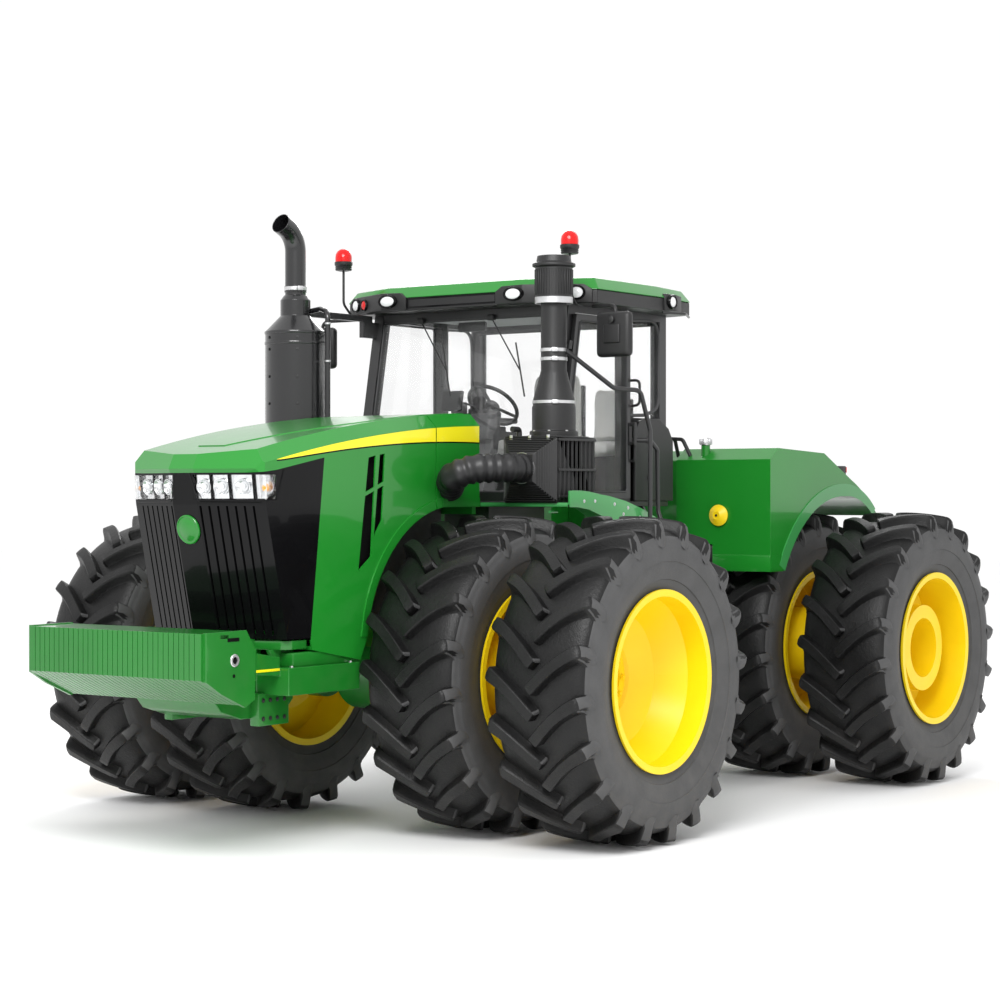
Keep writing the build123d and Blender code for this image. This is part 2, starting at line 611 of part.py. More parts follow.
def intake():
    x0, x1 = BOX_X
    y0, y1 = BOX_Y
    # the inner rear corner is cut away to leave room for the post and the opening door
    plan = ((x0, y0), (x1, y0), (x1, y1), (x0 + 120, y1), (x0 + 120, y1 - 80), (x0, y1 - 80))
    body = plan_profile(plan, DECK_TOP, BOX_TOP)
    front = Plane(origin=((x0 + x1) / 2, y0, (DECK_TOP + BOX_TOP) / 2), z_dir=(0, -1, 0))
    mouth = Plane(origin=MOUTH, z_dir=(0, -1, 0))
    body += loft([front * Rectangle(x1 - x0, BOX_TOP - DECK_TOP), mouth * Rectangle(180, 180)],
                 ruled=True)
    for i in range(9):
        y = y0 + 30 + i * (y1 - y0 - 60) / 8
        body += block(x1, x1 + 12, y - 5, y + 5, DECK_TOP + 20, BOX_TOP - 20)
    parts["air_cleaner"] = body

    outline = ((0, BOX_TOP), (164, BOX_TOP), (164, BOX_TOP + 40), (148, BOX_TOP + 48),
               (148, BOX_TOP + 205), (142, BOX_TOP + 215), (142, BOX_TOP + 250),
               (88, BOX_TOP + 450), (88, BOX_TOP + 915), (126, BOX_TOP + 930),
               (126, BOX_TOP + 1144), (146, BOX_TOP + 1154), (146, BOX_TOP + 1172),
               (120, BOX_TOP + 1182), (112, BOX_TOP + 1225), (0, BOX_TOP + 1225))
    half = make_face(Plane.XZ * Polyline(*outline, close=True))
    parts["intake_stack"] = Pos(STACK_X, STACK_Y, 0) * revolve(half, axis=Axis.Z)

    route = [MOUTH, (1000, 80, DECK_TOP + 230), (860, -110, DECK_TOP + 225),
             (750, -200, DECK_TOP + 180), (477, 81, DECK_TOP + 55)]
    hose = bent_tube(route, [150, 150, 100], HOSE_RADIUS)
    inside_cowl = block(300, HOOD_REAR_HALF + SEAT, -300, 300, DECK_TOP - 200, DECK_TOP + 400)
    parts["intake_hose"] = hose - inside_cowl


# ---- decks and access --------------------------------------------------------------------
def decks():
    sheet = side_profile(((330, DECK_TOP - DECK_PLATE), (330, DECK_TOP), (1000, DECK_TOP),
                          (1300, DECK_TOP - 120), (1460, DECK_TOP - 270), (1450, DECK_TOP - 282),
                          (1290, DECK_TOP - 134), (996, DECK_TOP - DECK_PLATE)),
                         DECK_INNER, DECK_OUTER)
    front, rear = DECK_CHEEK_ENDS
    upper = Spline((front, DECK_TOP + 80), (610, DECK_TOP + 70), (870, DECK_TOP + 22),
                   (1110, DECK_TOP - 42), (rear, DECK_TOP - 150))
    lower = Polyline((rear, DECK_TOP - 150), (1450, DECK_TOP - 282), (1290, DECK_TOP - 134),
                     (996, DECK_TOP - DECK_PLATE), (front, DECK_TOP - DECK_PLATE),
                     (front, DECK_TOP + 80))
    outline = make_face(Curve() + [upper, lower])
    cheek = extrude(Plane.YZ.offset(DECK_OUTER) * outline, amount=14)
    beside_cab = block(DECK_INNER - 10, CAB_HALF, CAB_FRONT, 1600, 700, DECK_TOP + 90)
    parts["front_fenders"] = both_sides(sheet + cheek - beside_cab)


def access():
    """Steps and grab rails on the left, between the wheels."""
    y0, y1 = 1500, 1950
    out, back = STRINGER_X
    steps = None
    for z in (-480, -180, 120, 420):
        tread = block(back, out, y0, y1, z, z + 30)
        steps = tread if steps is None else steps + tread
    # each stringer hangs from the cab floor on a slanting arm
    hanger = make_face(Plane.XZ * Polyline((CAB_HALF - POST, CAB_FLOOR - FLOOR_PLATE),
                                           (CAB_HALF, CAB_FLOOR - FLOOR_PLATE), (back, 560),
                                           (out, 560), (out, -500), (back, -500), (back, 440),
                                           close=True))
    for y in (y0, y1):
        steps += Pos(0, y, 0) * extrude(hanger, amount=12, both=True)
    steps += block(920, 1075, y0, y1, 745, 775)
    floor = CAB_FLOOR
    front = [(STACK_X + 80, 620, floor + 1020), (1250, 960, floor + 770),
             (1340, 1150, floor + 760), (out - 38, 1258, floor + 490),
             (out - 38, 1258, floor - 120), (out - 38, y0, 540)]
    rail = bent_tube(front, [60, 60, 60, 60], RAIL_RADIUS)
    rail -= upright(88 + SEAT, STACK_X, STACK_Y, floor + 880, floor + 1180)
    rail_x = CAB_HALF + 125
    rear = [(CAB_HALF - 10, 1744, floor + 436), (rail_x - 5, 1850, floor + 436),
            (rail_x, 1940, floor + 370), (rail_x, y1, floor - 70), (back + 10, y1, 540)]
    rear_rail = bent_tube(rear, [50, 40, 60], RAIL_RADIUS)
    rear_rail -= block(CAB_HALF - 160, CAB_HALF, 1600, 1900, floor + 380, floor + 480)
    parts["access_steps"] = steps + rail + rear_rail


# ---- cab ---------------------------------------------------------------------------------
def door_hinges():
    """Planes of the two door hinges, their Z along the leaning post."""
    run = a_post_y(1) - a_post_y(0)
    return [Plane(origin=(DOOR_HINGE_X, a_post_y(z) + 40, z), x_dir=(1, 0, 0),
                  z_dir=(0, run, 1)) for z in (CAB_FLOOR + 180, CAB_FLOOR + 1080)]


def cab_frame():
    low, high = CAB_FLOOR, ROOF_LOW
    inner = CAB_HALF - POST
    a_post = side_profile(((a_post_y(low), low), (a_post_y(low) + 90, low),
                           (a_post_y(high) + 90, high), (a_post_y(high), high)), inner, CAB_HALF)
    b_post = block(inner, CAB_HALF, *B_POST, low, high)
    c_post = block(inner, CAB_HALF, CAB_REAR - 90, CAB_REAR, low, high)
    posts = both_sides(a_post + b_post + c_post)
    header = block(-inner, inner, a_post_y(high), a_post_y(high) + 60, high - 60, high)
    tail = block(-inner, inner, CAB_REAR - 60, CAB_REAR, high - 60, high)
    side = block(inner, CAB_HALF, a_post_y(high) + 40, CAB_REAR, high - 50, high)
    sill = block(inner, CAB_HALF, a_post_y(low) + 90, B_POST[0], low, low + 60)
    low_rear = block(-inner, inner, CAB_REAR - 60, CAB_REAR, low, low + 60)
    low_front = block(-inner, inner, a_post_y(low), a_post_y(low) + 60, low, low + 60)
    frame = posts + header + tail + both_sides(side + sill) + low_rear + low_front
    for hinge in door_hinges():
        frame += hinge * (upright(14, 0, 0, -30, 0) + upright(10, 0, 0, 0, 30)
                          + block(-24, 0, -10, 10, -30, 0))
    return frame


def cab():
    parts["cab_base"] = (plan_profile(((-CAB_HALF, CAB_FRONT), (CAB_HALF, CAB_FRONT), (CAB_HALF, 2290),
                                       (-CAB_HALF, 2290)), CAB_FLOOR - FLOOR_PLATE, CAB_FLOOR)
                         + both_sides(block(FRAME_INNER, FRAME_INNER + FRAME_PLATE, 760, 1440,
                                            FRAME_TOP_REAR, CAB_FLOOR - FLOOR_PLATE))
                         + block(-FRAME_INNER, FRAME_INNER, 760, 800, FRAME_TOP_REAR,
                                 CAB_FLOOR - FLOOR_PLATE)
                         + block(-FRAME_INNER, FRAME_INNER, 1400, 1440, FRAME_TOP_REAR,
                                 CAB_FLOOR - FLOOR_PLATE))
    parts["cab_frame"] = cab_frame()

    inner = CAB_HALF - POST
    low, high = CAB_FLOOR + 60, ROOF_LOW - 60
    lean = side_profile(((a_post_y(low) + 20, low), (a_post_y(low) + 20 + GLASS, low),
                         (a_post_y(high) + 20 + GLASS, high), (a_post_y(high) + 20, high)),
                        -inner, inner)
    rear = block(-inner, inner, CAB_REAR - 40, CAB_REAR - 40 + GLASS, low, high)
    side = side_profile(((a_post_y(low) + 90, low), (B_POST[0], low), (B_POST[0], high + 10),
                         (a_post_y(high + 10) + 90, high + 10)), -CAB_HALF + 20,
                        -CAB_HALF + 20 + GLASS)
    quarter = block(CAB_HALF - 20 - GLASS, CAB_HALF - 20, B_POST[1], CAB_REAR - 90,
                    CAB_FLOOR + 610, high + 10)
    panes = lean + rear + side + both_sides(quarter)
    parts["cab_glass"] = panes

    cover_front, cover_rear = B_POST[1] + 30, CAB_REAR + 60
    cover_outline = ((cover_front, CAB_FLOOR), (cover_front, CAB_FLOOR + 500),
                     (cover_front + 60, CAB_FLOOR + 575), (cover_front + 140, CAB_FLOOR + 600),
                     (cover_rear - 190, CAB_FLOOR + 600), (cover_rear - 60, CAB_FLOOR + 530),
                     (cover_rear, CAB_FLOOR + 440), (cover_rear, CAB_FLOOR))
    cover = side_profile(cover_outline, CAB_HALF - 20, CAB_HALF + 25)
    cover -= block(CAB_HALF - 30, CAB_HALF, B_POST[1], CAB_REAR, CAB_FLOOR - 10, CAB_FLOOR + 700)
    panel = block(CAB_HALF - POST, CAB_HALF - POST + 10, B_POST[1], CAB_REAR - 90, CAB_FLOOR,
                  CAB_FLOOR + 605)
    parts["cab_covers"] = both_sides(cover + panel)

    roof_plan = [(620, 770), (ROOF_HALF, 980), (ROOF_HALF, 1800), (1020, 2330), (700, 2400)]
    roof_plan = roof_plan + [(-x, y) for x, y in reversed(roof_plan)]
    parts["roof_fascia"] = plan_profile(roof_plan, ROOF_LOW, ROOF_LOW + FASCIA_HEIGHT)
    cap_plan = [(x * 1.01, y - 6 if y < 1500 else y) for x, y in roof_plan]
    parts["roof_cap"] = plan_profile(cap_plan, ROOF_LOW + FASCIA_HEIGHT,
                                     ROOF_LOW + FASCIA_HEIGHT + CAP_HEIGHT, taper=35)


def door():
    """Glass door with its frame, hinged on the left front post."""
    x0, x1 = CAB_HALF + RUN, CAB_HALF + RUN + 30
    low, high = CAB_FLOOR + 20, ROOF_LOW - 60
    outline = ((a_post_y(low) + 60, low), (B_POST[0] + 30, low), (B_POST[0] + 30, high),
               (a_post_y(high) + 60, high))
    hole = ((a_post_y(low + 45) + 105, low + 45), (B_POST[0] - 15, low + 45),
            (B_POST[0] - 15, high - 45), (a_post_y(high - 45) + 105, high - 45))
    frame = side_profile(outline, x0, x1) - side_profile(hole, x0, x1)
    for hinge in door_hinges():
        frame += hinge * (upright(14, 0, 0, SEAT, 30, bore=10 + PIN_FIT)
                          + block(-8, 8, 11, 30, SEAT, 30))
    parts["door_frame"] = frame
    parts["door_glass"] = side_profile(hole, x0 + 10, x0 + 10 + GLASS)
    y0, y1 = B_POST[0] - 12, B_POST[0] + 27
    z0, z1 = CAB_FLOOR + 400, CAB_FLOOR + 560
    handle = block(x1, x1 + 15, y0, y1, z0, z1)
    handle += block(x1 + 15, x1 + 45, y0 + 7, y1 - 7, z0, z0 + 25)
    handle += block(x1 + 15, x1 + 45, y0 + 7, y1 - 7, z1 - 25, z1)
    handle += block(x1 + 45, x1 + 60, y0 + 2, y1 - 2, z0, z1)
    parts["door_handle"] = handle


def seats():
    z = CAB_FLOOR
    parts["seat_base"] = (block(-190, 190, 1640, 2000, z, z + 60)
                          + block(-150, 150, 1680, 1960, z + 60, z + 330)
                          + block(330, 620, 1820, 2100, z, z + 330))
    cushions = block(-250, 250, 1560, 2040, z + 330, z + 450)
    cushions += block(-240, 240, 2040 + SEAT, 2160, z + 330, z + 1180)
    cushions += block(290, CAB_HALF - 200, 1760, 2080, z + 330, z + 430)
    cushions += block(290, CAB_HALF - 200, 2080 + SEAT, 2160, z + 330, z + 960)
    parts["seat_cushions"] = cushions
    column = side_profile(((1010, z), (1160, z), (1262, z + 637), (1208, z + 664)), -90, 90)
    console = (block(300 - CAB_HALF, -300, 1500, 2000, z, z + 520)
               + block(300 - CAB_HALF, -330, 1420, 1900, z + 520, z + 560))
    parts["controls"] = column + console
    wheel = Plane(origin=(0, 1235, z + 650.5), z_dir=(0, 1, 2))
    rim = Torus(190, 14)
    spokes = Cylinder(40, 30) + Box(370, 34, 12)
    parts["steering_wheel"] = wheel * (Pos(0, 0, 45) * (rim + spokes)
                                       + upright(25, 0, 0, SEAT, 35))


def roof_fittings():
    arm_z = ROOF_LOW - 12 - SEAT
    mirror_x = ROOF_HALF + 200
    arms = bent_tube([(ROOF_HALF - 60, 1020, arm_z), (mirror_x, 900, arm_z),
                      (mirror_x, 900, ROOF_LOW - 180)], [50], 12)
    arms += block(mirror_x - 125, mirror_x + 125, 865, 935, ROOF_LOW - 335, ROOF_LOW - 30)
    parts["mirrors"] = both_sides(arms)
    rod_z, cup_z, dome_z = ROOF_LOW - 8 - SEAT, ROOF_LOW + 320, ROOF_LOW + 440
    beacon_x = ROOF_HALF - 40
    beacon = bent_tube([(beacon_x - 100, 1010, rod_z), (beacon_x, 905, rod_z),
                        (beacon_x, 905, cup_z)], [60], 8)
    beacon += upright(52, beacon_x, 905, cup_z, cup_z + 80)
    beacon += upright(48, beacon_x, 905, cup_z + 80, dome_z)
    beacon += Pos(beacon_x, 905, dome_z) * Sphere(48)
    parts["beacons"] = both_sides(beacon)


# ---- rear half ---------------------------------------------------------------------------
def over_wheel(back, up):
    """A (y, z) point behind the rear axle and above the top of its tyres."""
    return (WHEELBASE + back, TYRE_RADIUS + up)


TANK_NOSE = ((TANK_FRONT, TANK_TOP - 86), (TANK_FRONT + 120, TANK_TOP))
TANK_CREST = over_wheel(-202, 457)
TANK_SHOULDER = over_wheel(248, 255)


def tank_side():
    """Left tank and the fender that it runs into, over the inner rear tyre."""
    tail, tail_inner = over_wheel(706, -30), over_wheel(610, -30)
    arch_top, arch_foot = over_wheel(140, 124), over_wheel(-838, -440)
    edges = [Polyline(arch_foot, (TANK_FRONT, TANK_LOW), *TANK_NOSE, TANK_CREST, TANK_SHOULDER)]
    edges += [ThreePointArc(TANK_SHOULDER, over_wheel(497, 129), tail)]
    edges += [Line(tail, tail_inner)]
    edges += [ThreePointArc(tail_inner, over_wheel(400, 86), arch_top)]
    edges += [ThreePointArc(arch_top, over_wheel(-392, 0), arch_foot)]
    outline = make_face(Curve() + edges)
    body = extrude(Plane.YZ.offset(TANK_INNER) * outline, amount=TANK_OUTER - TANK_INNER)
    body -= across(TYRE_RADIUS + 8, TANK_INNER - 10, TANK_OUTER + 10, WHEELBASE)
    step = block(TANK_INNER - 10, 900, TANK_FRONT - 10, TANK_FRONT + 540, TANK_LOW - 90,
                 TANK_LOW + 200)
    return body - step


def rear_body():
    parts["fuel_tanks"] = both_sides(tank_side())
    bridge_rear = WHEELBASE + 138
    bridge = side_profile(((BRIDGE_FRONT, FRAME_TOP_REAR), (BRIDGE_FRONT, TANK_TOP - 86),
                           (BRIDGE_FRONT + 120, TANK_TOP - 6), TANK_CREST,
                           (bridge_rear, TYRE_RADIUS + 304), (bridge_rear, FRAME_TOP_REAR)),
                          -TANK_INNER, TANK_INNER)
    parts["tank_bridge"] = bridge
    cap_y = TANK_FRONT + 70
    cap = upright(40, 800, cap_y, TANK_TOP - 70, TANK_TOP + 90)
    cap += upright(52, 800, cap_y, TANK_TOP + 90, TANK_TOP + 125)
    cap -= side_profile((*TANK_NOSE, (TANK_FRONT + 240, TANK_TOP), (TANK_FRONT + 240, TANK_TOP - 100),
                         (TANK_FRONT, TANK_TOP - 100)), 700, 900)
    disc = round_bar((970, TANK_FRONT - 30, 1060), (970, TANK_FRONT, 1060), 80)
    parts["tank_fittings"] = cap + disc
    parts["rear_lamps"] = both_sides(block(430, 560, bridge_rear, bridge_rear + 35,
                                           TYRE_RADIUS + 150, TYRE_RADIUS + 250))

    end = WHEELBASE + 620
    drawbar = block(-60, 60, WHEELBASE + 300, WHEELBASE + 1000, -330, -280)
    drawbar += upright(60, 0, WHEELBASE + 950, -330, -280)
    drawbar -= upright(26, 0, WHEELBASE + 950, -330, -280)
    hangers = None
    for y in (WHEELBASE + 400, end - 120):
        hanger = block(-FRAME_INNER, FRAME_INNER, y, y + 80, -280, FRAME_LOW + 80)
        hanger += both_sides(block(60, 150, y, y + 80, -330, -280))
        hanger += block(-150, 150, y, y + 80, -360, -330)
        hangers = hanger if hangers is None else hangers + hanger
    parts["drawbar"] = drawbar
    parts["drawbar_support"] = hangers
    couplers = block(-220, 220, end, end + 70, 120, 330)
    for i in range(4):
        couplers += round_bar((-150 + 100 * i, end + 70, 225), (-150 + 100 * i, end + 120, 225), 28)
    parts["hydraulic_outlets"] = couplers


def place(shape):
    return Pos(0, SHIFT_Y, TYRE_RADIUS) * shape


wheels()
chassis()
steering_cylinders()
weights_and_bracket()
hood_parts()
exhaust()
intake()
decks()
access()
cab()
door()
seats()
roof_fittings()
rear_body()

os.makedirs("parts", exist_ok=True)
for name, shape in parts.items():
    export_step(Compound(place(shape).solids()), f"parts/{name}.step")
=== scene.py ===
"""Looks of an articulated farm tractor on paired wheels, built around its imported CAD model.

Lengths are metres and the frame is the CAD model's: the tractor faces -Y, its left side is +X
and +Z is up.  Places on the machine are given to at(), in millimetres from the front axle.
"""

import json
from math import atan2, cos, pi, radians, sin

import bmesh
import bpy
import numpy as np
from mathutils import Matrix, Vector
from mathutils.bvhtree import BVHTree


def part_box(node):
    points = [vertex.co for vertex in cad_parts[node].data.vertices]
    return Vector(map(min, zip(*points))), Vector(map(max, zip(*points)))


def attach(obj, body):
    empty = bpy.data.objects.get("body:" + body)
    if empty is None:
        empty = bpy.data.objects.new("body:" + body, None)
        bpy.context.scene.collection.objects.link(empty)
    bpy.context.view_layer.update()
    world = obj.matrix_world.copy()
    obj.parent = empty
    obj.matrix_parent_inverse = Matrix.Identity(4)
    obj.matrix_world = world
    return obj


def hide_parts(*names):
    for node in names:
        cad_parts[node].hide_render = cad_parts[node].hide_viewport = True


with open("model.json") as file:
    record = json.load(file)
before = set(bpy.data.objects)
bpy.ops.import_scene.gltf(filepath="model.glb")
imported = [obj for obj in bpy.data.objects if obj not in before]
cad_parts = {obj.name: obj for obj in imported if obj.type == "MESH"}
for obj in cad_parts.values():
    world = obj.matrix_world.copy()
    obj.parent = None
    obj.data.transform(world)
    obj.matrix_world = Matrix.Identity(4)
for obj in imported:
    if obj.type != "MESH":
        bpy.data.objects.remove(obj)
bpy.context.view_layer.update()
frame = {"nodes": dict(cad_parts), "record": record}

_low, _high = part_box("tyres_front_left")
TYRE_RADIUS = (_high.z - _low.z) / 2
AXLE_Y = (_low.y + _high.y) / 2
AXLE_Z = (_low.z + _high.z) / 2
_low, _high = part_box("tyres_rear_left")
WHEELBASE = (_low.y + _high.y) / 2 - AXLE_Y
BODY_OF = {n: b for b, nodes in frame["record"]["behaviour"]["bodies"].items() for n in nodes}


def at(x, y, z):
    """A point in millimetres: left, back from the front axle and up from its centre."""
    return Vector((x / 1000, AXLE_Y + y / 1000, AXLE_Z + z / 1000))


# ---- shader groups -----------------------------------------------------------------------
def feed(tree, socket, source):
    """Gives an input its value: a link from another node, or a constant."""
    if isinstance(source, bpy.types.NodeSocket):
        tree.links.new(source, socket)
    else:
        socket.default_value = source


def add(tree, kind, inputs=None, **properties):
    """A node with its properties set and its inputs fed."""
    node = tree.nodes.new(kind)
    for key, value in properties.items():
        setattr(node, key, value)
    for key, source in (inputs or {}).items():
        feed(tree, node.inputs[key], source)
    return node


def noise(tree, place, scale, detail):
    return add(tree, "ShaderNodeTexNoise", {"Vector": place, "Scale": scale, "Detail": detail,
                                            "Roughness": 0.55}).outputs["Fac"]


def remap(tree, value, low, high, to_low=0.0, to_high=1.0):
    return add(tree, "ShaderNodeMapRange", {
        "Value": value, "From Min": low, "From Max": high, "To Min": to_low,
        "To Max": to_high}).outputs["Result"]


def mix_colours(tree, fac, a, b):
    return add(tree, "ShaderNodeMix", {0: fac, 6: a, 7: b}, data_type="RGBA").outputs[2]


def maths(tree, operation, a, b=0.0):
    return add(tree, "ShaderNodeMath", {0: a, 1: b}, operation=operation).outputs[0]


def dimmed(tree, colour, share):
    return add(tree, "ShaderNodeVectorMath", {0: colour, "Scale": share},
               operation="SCALE").outputs[0]


def shader_group(name, inputs, outputs):
    """An empty group: a colour or number for each input, and the object's coordinates."""
    group = bpy.data.node_groups.new(name, "ShaderNodeTree")
    for label, value in inputs.items():
        kind = "NodeSocketColor" if isinstance(value, tuple) else "NodeSocketFloat"
        group.interface.new_socket(label, in_out="INPUT", socket_type=kind).default_value = value
    for label in outputs:
        kind = "NodeSocketColor" if label == "Colour" else "NodeSocketFloat"
        group.interface.new_socket(label, in_out="OUTPUT", socket_type=kind)
    return (group, group.nodes.new("NodeGroupInput").outputs,
            group.nodes.new("NodeGroupOutput").inputs,
            group.nodes.new("ShaderNodeTexCoord").outputs["Object"])


def make_mottle():
    """Cloudy change of tone and gloss, as on any real finish."""
    group, given, out, place = shader_group(
        "mottle", {"Colour": (0.5, 0.5, 0.5, 1), "Darker": 0.85, "Scale": 4.0, "Roughness": 0.4,
                   "Gloss spread": 0.1}, ("Colour", "Roughness"))
    cloud = noise(group, place, given["Scale"], 4.0)
    shade = remap(group, cloud, 0.3, 0.7, given["Darker"], 1.0)
    feed(group, out["Colour"], dimmed(group, given["Colour"], shade))
    fine = noise(group, place, maths(group, "MULTIPLY", given["Scale"], 9.0), 2.0)
    spread = maths(group, "MULTIPLY", maths(group, "SUBTRACT", fine, 0.5), given["Gloss spread"])
    feed(group, out["Roughness"], maths(group, "ADD", given["Roughness"], spread))
    return group


def make_grain():
    """Height of a fine moulded or sprayed grain."""
    group, given, out, place = shader_group("grain", {"Scale": 200.0, "Pits": 0.5}, ("Height",))
    cells = add(group, "ShaderNodeTexVoronoi", {"Vector": place, "Scale": given["Scale"]})
    soft = noise(group, place, maths(group, "MULTIPLY", given["Scale"], 0.35), 2.0)
    pitted = maths(group, "MULTIPLY", cells.outputs["Distance"], given["Pits"])
    feed(group, out["Height"], maths(group, "ADD", pitted, soft))
    return group


def make_dust():
    """Mask of the film of dust that settles low on the machine and in patches."""
    group, given, out, place = shader_group("dust", {"Reach": 1.2, "Amount": 0.3}, ("Mask",))
    height = add(group, "ShaderNodeSeparateXYZ", {"Vector": place}).outputs["Z"]
    fall = remap(group, height, 0.0, given["Reach"], 1.0, 0.0)
    patch = remap(group, noise(group, place, 7.0, 5.0), 0.42, 0.68)
    mask = maths(group, "MULTIPLY", maths(group, "MULTIPLY", fall, patch), given["Amount"])
    feed(group, out["Mask"], mask)
    return group


def make_weave():
    """Height of a plain woven cloth, and painted shade that darkens its hollows."""
    group, given, out, place = shader_group("weave", {"Threads per metre": 700.0},
                                            ("Height", "Shade"))
    axes = add(group, "ShaderNodeSeparateXYZ", {"Vector": place}).outputs
    waves = []
    for axis in (axes["X"], maths(group, "ADD", axes["Y"], axes["Z"])):
        turn = maths(group, "MULTIPLY", axis, given["Threads per metre"])
        waves.append(maths(group, "SINE", turn))
    cross = maths(group, "MULTIPLY", *waves)
    feed(group, out["Height"], remap(group, cross, -1.0, 1.0))
    # painted shade: the colour is darkest where the weave's height is lowest
    feed(group, out["Shade"], remap(group, cross, -1.0, 1.0, 0.75, 1.0))
    return group


MOTTLE, GRAIN, DUST, WEAVE = make_mottle(), make_grain(), make_dust(), make_weave()
DUST_COLOUR = (0.30, 0.26, 0.21, 1)
GRAIN_DEPTH, WEAVE_DEPTH = 0.002, 0.001        # metres


# ---- finishes ----------------------------------------------------------------------------
def finish_material(name, colour, roughness, darker, mottle_scale, spread, grain=0.0,
                    grain_scale=220.0, dust=0.0, dust_reach=1.3, **constant):
    """A finish with mottled tone and gloss, an optional grain and dust, on one Principled."""
    material = bpy.data.materials.new(name)
    material.use_nodes = True
    tree = material.node_tree
    tree.nodes.clear()
    shader = add(tree, "ShaderNodeBsdfPrincipled")
    add(tree, "ShaderNodeOutputMaterial", {0: shader.outputs[0]})
    tone, gloss = add(tree, "ShaderNodeGroup", {
        "Colour": (*colour, 1), "Darker": darker, "Scale": mottle_scale, "Roughness": roughness,
        "Gloss spread": spread}, node_tree=MOTTLE).outputs
    if dust:
        film = add(tree, "ShaderNodeGroup", {"Reach": dust_reach, "Amount": dust},
                   node_tree=DUST).outputs["Mask"]
        tone = mix_colours(tree, film, tone, DUST_COLOUR)
        gloss = maths(tree, "ADD", gloss, maths(tree, "MULTIPLY", film, 0.5))
    feed(tree, shader.inputs["Base Color"], tone)
    feed(tree, shader.inputs["Roughness"], gloss)
    if grain:
        pattern = add(tree, "ShaderNodeGroup", {"Scale": grain_scale}, node_tree=GRAIN)
        bumped(tree, shader, pattern.outputs["Height"], grain, GRAIN_DEPTH)
    for key, value in constant.items():
        shader.inputs[key.replace("_", " ")].default_value = value
    return material


def bumped(tree, shader, height, strength, depth):
    """Gives the shader a height to bump its surface with."""
    bump = add(tree, "ShaderNodeBump", {"Height": height, "Strength": strength,
                                        "Distance": depth})
    feed(tree, shader.inputs["Normal"], bump.outputs[0])


PAINT = {"Coat_Weight": 0.55, "Coat_Roughness": 0.05, "Specular_IOR_Level": 0.35}
GREEN = finish_material("green_enamel", (0.010, 0.215, 0.018), 0.30, 0.93, 1.2, 0.05, 0.04, 420.0,
                        **PAINT)
FRAME_GREEN = finish_material("green_chassis_enamel", (0.009, 0.175, 0.016), 0.34, 0.85, 2.5,
                              0.1, 0.08, 160.0, 0.12, **PAINT)
# the green enamel painted lighter for faces that catch the light: painted highlight
PAINTED_LIT_GREEN = finish_material("green_pressed_enamel", (0.045, 0.30, 0.075), 0.3, 0.93, 1.4, 0.05,
                              0.04, 420.0, **PAINT)
YELLOW = finish_material("yellow_enamel", (0.98, 0.70, 0.004), 0.42, 0.9, 2.0, 0.06, 0.05, 260.0,
                         Coat_Weight=0.3, Coat_Roughness=0.35, Specular_IOR_Level=0.3)
STRIPE = finish_material("yellow_stripe", (0.90, 0.80, 0.01), 0.3, 0.96, 3.0, 0.04, **PAINT)
BLACK_PAINT = finish_material("black_satin_paint", (0.016, 0.016, 0.017), 0.38, 0.75, 5.0, 0.15,
                              0.12, 300.0, 0.10, Coat_Weight=0.3, Coat_Roughness=0.3)
EXHAUST_BLACK = finish_material("black_heatproof_paint", (0.010, 0.010, 0.011), 0.24, 0.8, 4.0,
                                0.05, Coat_Weight=0.5, Coat_Roughness=0.08)
GLOSS_BLACK = finish_material("black_gloss_moulding", (0.004, 0.004, 0.0045), 0.16, 0.8, 3.0,
                              0.05, Coat_Weight=0.16, Coat_Roughness=0.03,
                              Specular_IOR_Level=0.1)
PLASTIC = finish_material("black_grained_moulding", (0.012, 0.012, 0.0125), 0.42, 0.8, 6.0, 0.12,
                          0.35, 520.0)
DARK_TRIM = finish_material("dark_cab_trim", (0.05, 0.05, 0.052), 0.6, 0.85, 4.0, 0.1, 0.4, 380.0)
RUBBER = finish_material("tread_rubber", (0.006, 0.006, 0.0062), 0.46, 0.5, 9.0, 0.2, 1.0,
                         120.0, 0.03, 1.1, Specular_IOR_Level=0.34)
# the tyre rubber painted paler for the tyres' sides: painted light on the faces turned to the side
PAINTED_LIGHT_SIDEWALL = finish_material("sidewall_rubber", (0.075, 0.075, 0.076), 0.6, 0.8, 7.0, 0.15, 0.35,
                           240.0, 0.05, 1.1, Specular_IOR_Level=0.35)
HOSE = finish_material("hose_rubber", (0.015, 0.015, 0.016), 0.42, 0.7, 8.0, 0.15, 0.25, 300.0)
STEEL = finish_material("zinc_plate", (0.74, 0.74, 0.75), 0.38, 0.8, 14.0, 0.2, 0.1, 300.0,
                        Metallic=1.0)
CHROME = finish_material("rod_chrome", (0.75, 0.75, 0.77), 0.12, 0.92, 6.0, 0.05, Metallic=1.0)
IRON = finish_material("engine_casting", (0.05, 0.052, 0.05), 0.6, 0.7, 8.0, 0.2, 0.6, 120.0, 0.3)
MIRROR = finish_material("mirror_silver", (0.8, 0.82, 0.83), 0.04, 0.97, 5.0, 0.02, Metallic=1.0)
RED_LENS = finish_material("red_lens", (0.72, 0.003, 0.003), 0.22, 0.85, 5.0, 0.03,
                           Coat_Weight=0.3, Coat_Roughness=0.05, Specular_IOR_Level=0.3)
AMBER_LENS = finish_material("amber_lens", (0.95, 0.36, 0.01), 0.15, 0.85, 8.0, 0.03,
                             Coat_Weight=1.0, Coat_Roughness=0.03)
REFLECTOR = finish_material("lamp_reflector", (0.86, 0.87, 0.88), 0.10, 0.85, 40.0, 0.1,
                            Metallic=1.0)
LAMP_WHITE = finish_material("lamp_diffuser", (0.86, 0.87, 0.88), 0.3, 0.9, 30.0, 0.1,
                             Coat_Weight=1.0, Coat_Roughness=0.03)
